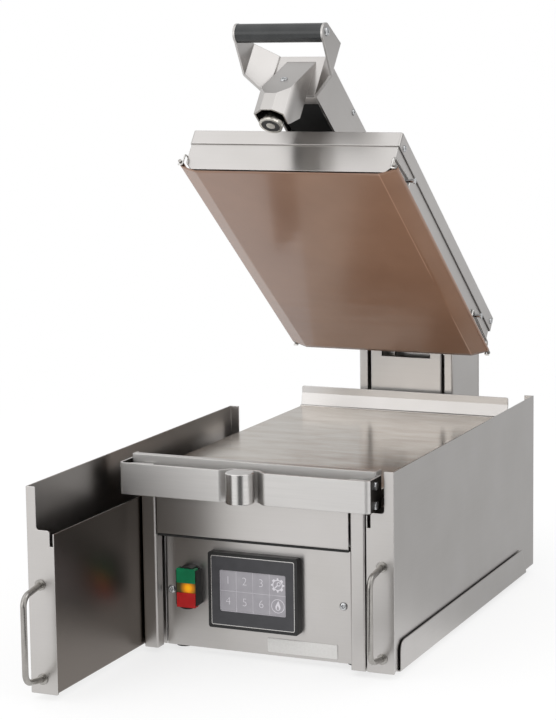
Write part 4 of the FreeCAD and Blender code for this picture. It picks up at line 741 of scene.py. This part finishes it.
def bent_wire(shape, corners):
    """Adds a round wire through those corners, each of them rounded."""
    path = [corners[0]]
    for before, corner, after in zip(corners, corners[1:], corners[2:]):
        ways = [other - corner for other in (before, after)]
        into, out = (corner + way.normalized() * min(WIRE_CORNER, way.length * CORNER_SHARE) for way in ways)
        path += [into, corner, out]
    path.append(corners[-1])
    line = bpy.data.curves.new("wire", "CURVE")
    line.dimensions = "3D"
    line.bevel_depth = WIRE_RADIUS
    line.bevel_resolution = 3
    line.use_fill_caps = True
    spline = line.splines.new("NURBS")
    spline.points.add(len(path) - 1)
    for point, place in zip(spline.points, path):
        point.co = (*place, 1.0)
    spline.order_u = 3
    spline.use_endpoint_u = True
    spline.resolution_u = 4
    add_drawn(shape, line, Matrix())


stud_low, stud_high = closed_box("clip_studs")
stud_head = (stud_high.z - stud_low.z) / 2
stud_height = stud_low.z + stud_head
wire_wall = closed_box("platen_housing")[1].x + WIRE_RADIUS + WALL_GAP
hook_in = rod.x - rod_radius - WIRE_RADIUS - ROD_GAP
over_stud = stud_height + WIRE_OVER
under_rod = rod.y - WIRE_OVER
shape = bmesh.new()
for stud_depth, rod_end, step in ((stud_low.y + stud_head, rod_low.y + ROD_INSET, 1),
                                  (stud_high.y - stud_head, rod_high.y - ROD_INSET, -1)):
    finger = stud_depth + step * FINGER
    lane = [(wire_wall, finger, stud_height - FINGER), (wire_wall, finger, over_stud),
            (wire_wall, stud_depth - step * PAST_STUD, over_stud),
            (wire_wall, rod_end + step * OFF_WALL[0], rod.y + OFF_WALL[1]),
            (hook_in, rod_end, rod.y + HOOK_TOP), (hook_in, rod_end, under_rod),
            (rod.x + HOOK_OUT, rod_end, under_rod)]
    for side in (1, -1):
        bent_wire(shape, [Vector((side * x, y, z)) for x, y, z in lane])
bmesh.ops.remove_doubles(shape, verts=shape.verts, dist=0.001 * MM)
bmesh.ops.transform(shape, matrix=OPENED, verts=shape.verts)
clips = finished_piece("spring_clip_wires", shape, spring_wire, "head", smooth=True)
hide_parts("spring_clips")

# %% [markdown]
# ## The screws
# The panels are held by domed screws with a cross recess. A head starts as a small grid of nine squares. Its rim is
# drawn out and down ring by ring into a dome, the five squares that form a cross are pushed in, and a subdivision
# surface rounds it. A screw sits on its CAD part at the point nearest to the one given, and faces as the part does.

# %% The screws
# Sizes of a head as shares of its radius. A ring is given by its radius and its height.
TOP_HALF, TOP_HEIGHT, RECESS = 0.42, 0.46, 0.42
CROSS_HALF = 0.1
RINGS = ((0.72, 0.40), (0.92, 0.26), (1.0, 0.08), (1.0, 0.0))


def points(parts):
    """The vertices among the parts that an operator made."""
    return [part for part in parts if isinstance(part, bmesh.types.BMVert)]


def cross_head(shape, place, facing, radius):
    """Adds a domed screw head of that radius."""
    turn = Matrix.Translation(place) @ facing.to_track_quat("Z", "Y").to_matrix().to_4x4()
    top = bmesh.ops.create_grid(shape, x_segments=3, y_segments=3, size=TOP_HALF * radius)
    squares = list(dict.fromkeys(face for vertex in top["verts"] for face in vertex.link_faces))
    made = list(top["verts"])
    bmesh.ops.translate(shape, vec=(0, 0, TOP_HEIGHT * radius), verts=made)
    cross = [face for face in squares
             if min(abs(share) for share in face.calc_center_median().xy) < CROSS_HALF * radius]
    rim = [edge for edge in dict.fromkeys(edge for face in squares for edge in face.edges) if edge.is_boundary]
    for out, height in RINGS:
        grown = bmesh.ops.extrude_edge_only(shape, edges=rim)["geom"]
        rim = [part for part in grown if isinstance(part, bmesh.types.BMEdge) and part.is_boundary]
        for vertex in points(grown):
            flat = vertex.co.xy.normalized() * out * radius
            vertex.co = (flat.x, flat.y, height * radius)
            made.append(vertex)
    inner = points(bmesh.ops.extrude_face_region(shape, geom=cross)["geom"])
    bmesh.ops.delete(shape, geom=cross, context="FACES_ONLY")
    bmesh.ops.translate(shape, vec=(0, 0, -RECESS * radius), verts=inner)
    bmesh.ops.transform(shape, matrix=turn, verts=made + inner)


def screws(name, body, places, radius):
    """A set of screws on a body, each given by its CAD part and a point near it."""
    shape = bmesh.new()
    for part, point in places:
        _, place, facing, _ = nodes[part].closest_point_on_mesh(point)
        cross_head(shape, place, facing, radius)
    made = finished_piece(name, shape, zinc_plate, body, smooth=True)
    rounded = made.modifiers.new("round_heads", "SUBSURF")
    rounded.levels = rounded.render_levels = 2


def on_head(x, y, z):
    """A point of the closed head, in millimetres, as it lies with the head open."""
    return OPENED @ (Vector((x, y, z)) * MM)


screws("control_panel_screws", "base",
       [("control_panel", Vector((x, -190, 83.7)) * MM) for x in (-127.8, 119.0)], 5.8 * MM)
screws("lid_side_screws", "head",
       [("lid", on_head(side * 156, y, z)) for side in (1, -1) for y, z in ((-154.2, 291.5), (298.7, 296.5))],
       5.0 * MM)
ARM_SIDES = (("right_arm_plate", 1), ("left_arm_plate", -1))
screws("arm_side_screws", "head",
       [(part, on_head(side * 40, -93.2, 392.5)) for part, side in ARM_SIDES], 4.8 * MM)
screws("grip_end_screws", "head",
       [(part, on_head(side * 75, -288.2, 381)) for part, side in ARM_SIDES], 6.6 * MM)
screws("hood_screw", "head", [("magnet_hood", on_head(0, -250, 340))], 5.6 * MM)

# %% [markdown]
# ## The touch panel
# The panel's black frame carries a dark grey printed film with a thin silver line round it. A window in the film
# shows a lit picture of eight fields: the recipes 1 to 6, settings and heat. Plates with round corners start as one
# square whose corners are bevelled. Two such outlines bridged together give a ring or a window.

# %% The touch panel's plates
def outline(shape, low, high, front, corner):
    """Adds the round-cornered outline of a rectangle that faces the front, and returns its edges."""
    size = (high[0] - low[0], high[1] - low[1])
    middle = ((high[0] + low[0]) / 2, front, (high[1] + low[1]) / 2)
    stand = (Matrix.Translation(middle) @ Matrix.Rotation(math.radians(90), 4, "X")
             @ Matrix.Diagonal((*size, 1, 1)))
    square = bmesh.ops.create_grid(shape, x_segments=1, y_segments=1, size=0.5, matrix=stand)
    made = bmesh.ops.bevel(shape, geom=square["verts"], offset=corner, offset_type="OFFSET", segments=4,
                           profile=0.5, affect="VERTICES", material=-1)
    face = next(face for vertex in made["verts"] for face in vertex.link_faces)
    edges = list(face.edges)
    bmesh.ops.delete(shape, geom=[face], context="FACES_ONLY")
    return edges


def thicken(shape, faces, thick):
    """Draws flat faces forward by a thickness."""
    grown = bmesh.ops.extrude_face_region(shape, geom=faces)["geom"]
    bmesh.ops.translate(shape, vec=(0, -thick, 0), verts=points(grown))


def ring(shape, outer, inner, thick):
    """Adds the plate between two outlines, standing forward by its thickness."""
    thicken(shape, bmesh.ops.bridge_loops(shape, edges=outer + inner)["faces"], thick)


def plate(shape, edges, thick):
    """Adds a full plate inside an outline, standing forward by its thickness."""
    thicken(shape, bmesh.ops.contextual_create(shape, geom=edges)["faces"], thick)


def shrunk(low, high, by):
    """The rectangle drawn in by that much on every side."""
    return (low[0] + by, low[1] + by), (high[0] - by, high[1] - by)


case_low, case_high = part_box("touch_panel_housing")
glass_low, glass_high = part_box("touch_panel_screen")
case = ((case_low.x, case_low.z), (case_high.x, case_high.z))
glass = ((glass_low.x, glass_low.z), (glass_high.x, glass_high.z))
FILM = 0.2 * MM
FILM_INSET = 4.8 * MM
FILM_LAP = 0.3 * MM
PLATE_CORNER = 2 * MM
LINE_OUT, LINE_WIDE, LINE_CORNER = 0.5 * MM, 0.9 * MM, 2.4 * MM
LINE_HIGH = FILM * 1.5
shape = bmesh.new()
ring(shape, outline(shape, *shrunk(*case, FILM_INSET), case_low.y, PLATE_CORNER),
     outline(shape, *shrunk(*glass, FILM_LAP), case_low.y, PLATE_CORNER), FILM)
finished_piece("touch_panel_film", shape, bezel_plastic, "base")
shape = bmesh.new()
line = shrunk(*case, FILM_INSET - LINE_OUT)
ring(shape, outline(shape, *line, case_low.y, LINE_CORNER),
     outline(shape, *shrunk(*line, LINE_WIDE), case_low.y, PLATE_CORNER), LINE_HIGH)
finished_piece("touch_panel_silver_line", shape, turned_bar, "base")

# %% [markdown]
# ## The picture on the screen
# The fields are parted by thin white lines. The settings field shows a toothed wheel with a spanner, and the heat
# field a flame in a ring. They are thin raised shapes with a lit white finish, so they keep their place and edges
# from every side.

# %% The picture on the screen
lit_white = moulded("lit_white_screen_ink", "#C9C6CC", "#D8D5DB", (0.18, 0.26), 2.0, 0.0, glow=0.25)
INK = 0.12 * MM
GRID_LINE = 0.45 * MM
COLUMNS, ROWS = 4, 2
field_width = (glass[1][0] - glass[0][0]) / COLUMNS
field_height = (glass[1][1] - glass[0][1]) / ROWS
glass_front = glass_low.y


def field_middle(column, row):
    """Middle of a field of the picture, counted from its upper left corner."""
    return Vector((glass[0][0] + (column + 0.5) * field_width, glass_front,
                   glass[1][1] - (row + 0.5) * field_height))


def bar(shape, start, end, width):
    """Adds a straight ink bar between two points (x, z)."""
    start, end = Vector(start), Vector(end)
    way = end - start
    place = (Matrix.Translation(((start.x + end.x) / 2, glass_front - INK / 2, (start.y + end.y) / 2))
             @ Matrix.Rotation(-math.atan2(way.y, way.x), 4, "Y")
             @ Matrix.Diagonal((way.length, INK, width, 1)))
    bmesh.ops.create_cube(shape, size=1, matrix=place)


def ink_ring(shape, middle, outer, inner, segments=32):
    """Adds a flat ring. The outlines are functions of the angle, so they need not be round."""
    loops = []
    for reach in (outer, inner):
        made = bmesh.ops.create_circle(shape, segments=segments, radius=1)["verts"]
        edges = list(dict.fromkeys(edge for vertex in made for edge in vertex.link_edges))
        for vertex in made:
            across, up = reach(math.atan2(vertex.co.y, vertex.co.x))
            vertex.co = middle + Vector((across, 0, up))
        loops += edges
    thicken(shape, bmesh.ops.bridge_loops(shape, edges=loops)["faces"], INK)


def circle(radius):
    """The outline of a circle."""
    return lambda angle: (radius * math.cos(angle), radius * math.sin(angle))


def toothed(radius, tooth, teeth):
    """The outline of a wheel with square teeth."""
    def reach(angle):
        high = radius + (tooth if math.cos(teeth * angle) > 0 else 0)
        return high * math.cos(angle), high * math.sin(angle)
    return reach


def flame(size, lean, lift):
    """The outline of a flame: round below, drawn up to a leaning tip."""
    def reach(angle):
        rise = max(0.0, math.sin(angle)) ** 3
        waist = 1 - 0.55 * rise
        return (size * (0.62 * math.cos(angle) * waist + lean * rise),
                size * (0.72 * math.sin(angle) + 0.75 * rise) + lift)
    return reach


shape = bmesh.new()
(left, low), (right, high) = shrunk(*glass, GRID_LINE)
for column in range(COLUMNS + 1):
    x = min(max(glass[0][0] + column * field_width, left), right)
    bar(shape, (x, low), (x, high), GRID_LINE)
for row in range(ROWS + 1):
    z = min(max(glass[0][1] + row * field_height, low), high)
    bar(shape, (left, z), (right, z), GRID_LINE)
finished_piece("screen_field_lines", shape, lit_white, "base")

shape = bmesh.new()
gear = field_middle(3, 0)
ink_ring(shape, gear, toothed(7.4 * MM, 2.2 * MM, 8), circle(6.0 * MM), segments=64)
ink_ring(shape, gear + Vector((1.6, 0, 1.6)) * MM, circle(2.9 * MM), circle(1.7 * MM))
bar(shape, (gear.x - 4.0 * MM, gear.z - 4.0 * MM), (gear.x - 0.2 * MM, gear.z - 0.2 * MM), 1.8 * MM)
heat = field_middle(3, 1)
ink_ring(shape, heat, circle(9.4 * MM), circle(8.5 * MM))
ink_ring(shape, heat + Vector((0, 0, -1.6)) * MM, flame(6.0 * MM, 0.12, 0), flame(2.6 * MM, -0.1, -1.6 * MM))
finished_piece("screen_icons", shape, lit_white, "base")

# %% [markdown]
# ## The numbers on the screen
# The six recipes are plain numbers. Each is a text, drawn a little thinner than the font has it, turned into mesh
# and stood up in its field.

# %% The numbers on the screen
NUMBER_HEIGHT = 15.5 * MM
THINNER = 0.022 * NUMBER_HEIGHT
shape = bmesh.new()
for number in range(6):
    letters = bpy.data.curves.new("number", "FONT")
    letters.body = str(number + 1)
    letters.size = NUMBER_HEIGHT
    letters.align_x = letters.align_y = "CENTER"
    letters.extrude = INK / 2
    letters.offset = -THINNER
    middle = field_middle(number % 3, number // 3) + Vector((0, -INK / 2, 0))
    add_drawn(shape, letters, Matrix.Translation(middle) @ Matrix.Rotation(math.radians(90), 4, "X"))
finished_piece("screen_numbers", shape, lit_white, "base")

# %% [markdown]
# ## The nameplate
# A thin plate with round corners sits low on the control panel. It is left bare.

# %% The nameplate
nameplate_metal = worked_metal("matt_anodised_aluminium_label", "#EAE8E6", "#F2F1EF", (0.38, 0.48), (3, 3, 3), 0.05,
                               metallic=0.1)
NAMEPLATE = ((11.3 * MM, 12.3 * MM), (110.2 * MM, 31.0 * MM))
NAMEPLATE_CORNER = 1.6 * MM
SHEET = 1 * MM
panel_low, panel_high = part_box("control_panel")
shape = bmesh.new()
plate(shape, outline(shape, *NAMEPLATE, panel_low.y, NAMEPLATE_CORNER), SHEET)
finished_piece("bare_nameplate", shape, nameplate_metal, "base")

# %% [markdown]
# ## Shade strip, flanges and black arm sheet
# A black strip under the front fascia stands in for the shade in the gap there and shows as a thin dark line,
# painted shade. At both sides the control panel goes on behind the corner posts, so the gap beside a post shows
# shaded steel.
# Under the arm, a sheet coloured matt black stands in for the shade inside between the two side plates, so the arm
# looks black from below. Behind the magnet a small steel plate closes the nose against fat from the griddle.

# %% Shade strip, flanges and black arm sheet
SHADE_STRIP_DROP = 2.6 * MM
SHADE_STRIP_CORNER = 0.6 * MM
FLANGE_REACH = 18 * MM
FLANGE_BACK = 1.2 * MM
SEAM = 0.3 * MM
fascia_low, fascia_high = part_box("front_fascia")
# Painted shade: a black strip under the fascia stands in for the shade in the gap there.
shape = bmesh.new()
plate(shape, outline(shape, (fascia_low.x, fascia_low.z - SHADE_STRIP_DROP), (fascia_high.x, fascia_low.z),
                     fascia_high.y, SHADE_STRIP_CORNER), fascia_high.y - fascia_low.y - SHADE_STRIP_CORNER)
finished_piece("fascia_painted_shade_strip", shape, foot_rubber, "base")

shape = bmesh.new()
for left, right in ((panel_low.x - FLANGE_REACH, panel_low.x - SEAM),
                    (panel_high.x + SEAM, panel_high.x + FLANGE_REACH)):
    plate(shape, outline(shape, (left, panel_low.z), (right, panel_high.z), panel_low.y + FLANGE_BACK, SEAM), SHEET)
finished_piece("control_panel_side_flanges", shape, sheet_steel, "base")

# Painted shade: a matt black sheet under the arm stands in for the shade inside the open arm.
painted_shade_black = moulded("matt_black_painted_shade_sheet", "#0D0D0D", "#151515", (0.6, 0.7), 1.5, 0.1)
lid_low, lid_high = closed_box("lid")
ARM_GAP = 29.5 * MM
COVER_LIFT = 31.5 * MM
COVER_AHEAD = 30 * MM
COVER_CORNER = 3 * MM
shape = bmesh.new()
plate(shape, outline(shape, (-ARM_GAP, lid_low.y - COVER_AHEAD), (ARM_GAP, lid_high.y), 0, COVER_CORNER), SHEET)
lay_flat = Matrix.Translation((0, 0, lid_high.z + COVER_LIFT)) @ Matrix.Rotation(math.radians(-90), 4, "X")
bmesh.ops.transform(shape, matrix=OPENED @ lay_flat, verts=shape.verts)
finished_piece("arm_underside_painted_shade_sheet", shape, painted_shade_black, "head")

shelf_high = closed_box("magnet_shelf")[1]
cap_low = closed_box("arm_front_cap")[0]
GUARD_HALF = 18.5 * MM
guard_foot = Vector((0, shelf_high.y, shelf_high.z))
guard_rise = Vector((0, cap_low.y, cap_low.z)) - guard_foot
lean_back = Matrix.Rotation(-math.atan2(guard_rise.y, guard_rise.z), 4, "X")
shape = bmesh.new()
plate(shape, outline(shape, (-GUARD_HALF, 0), (GUARD_HALF, guard_rise.length), 0, PLATE_CORNER), SHEET)
bmesh.ops.transform(shape, matrix=OPENED @ Matrix.Translation(guard_foot) @ lean_back, verts=shape.verts)
finished_piece("magnet_guard_plate", shape, satin_bar, "head")
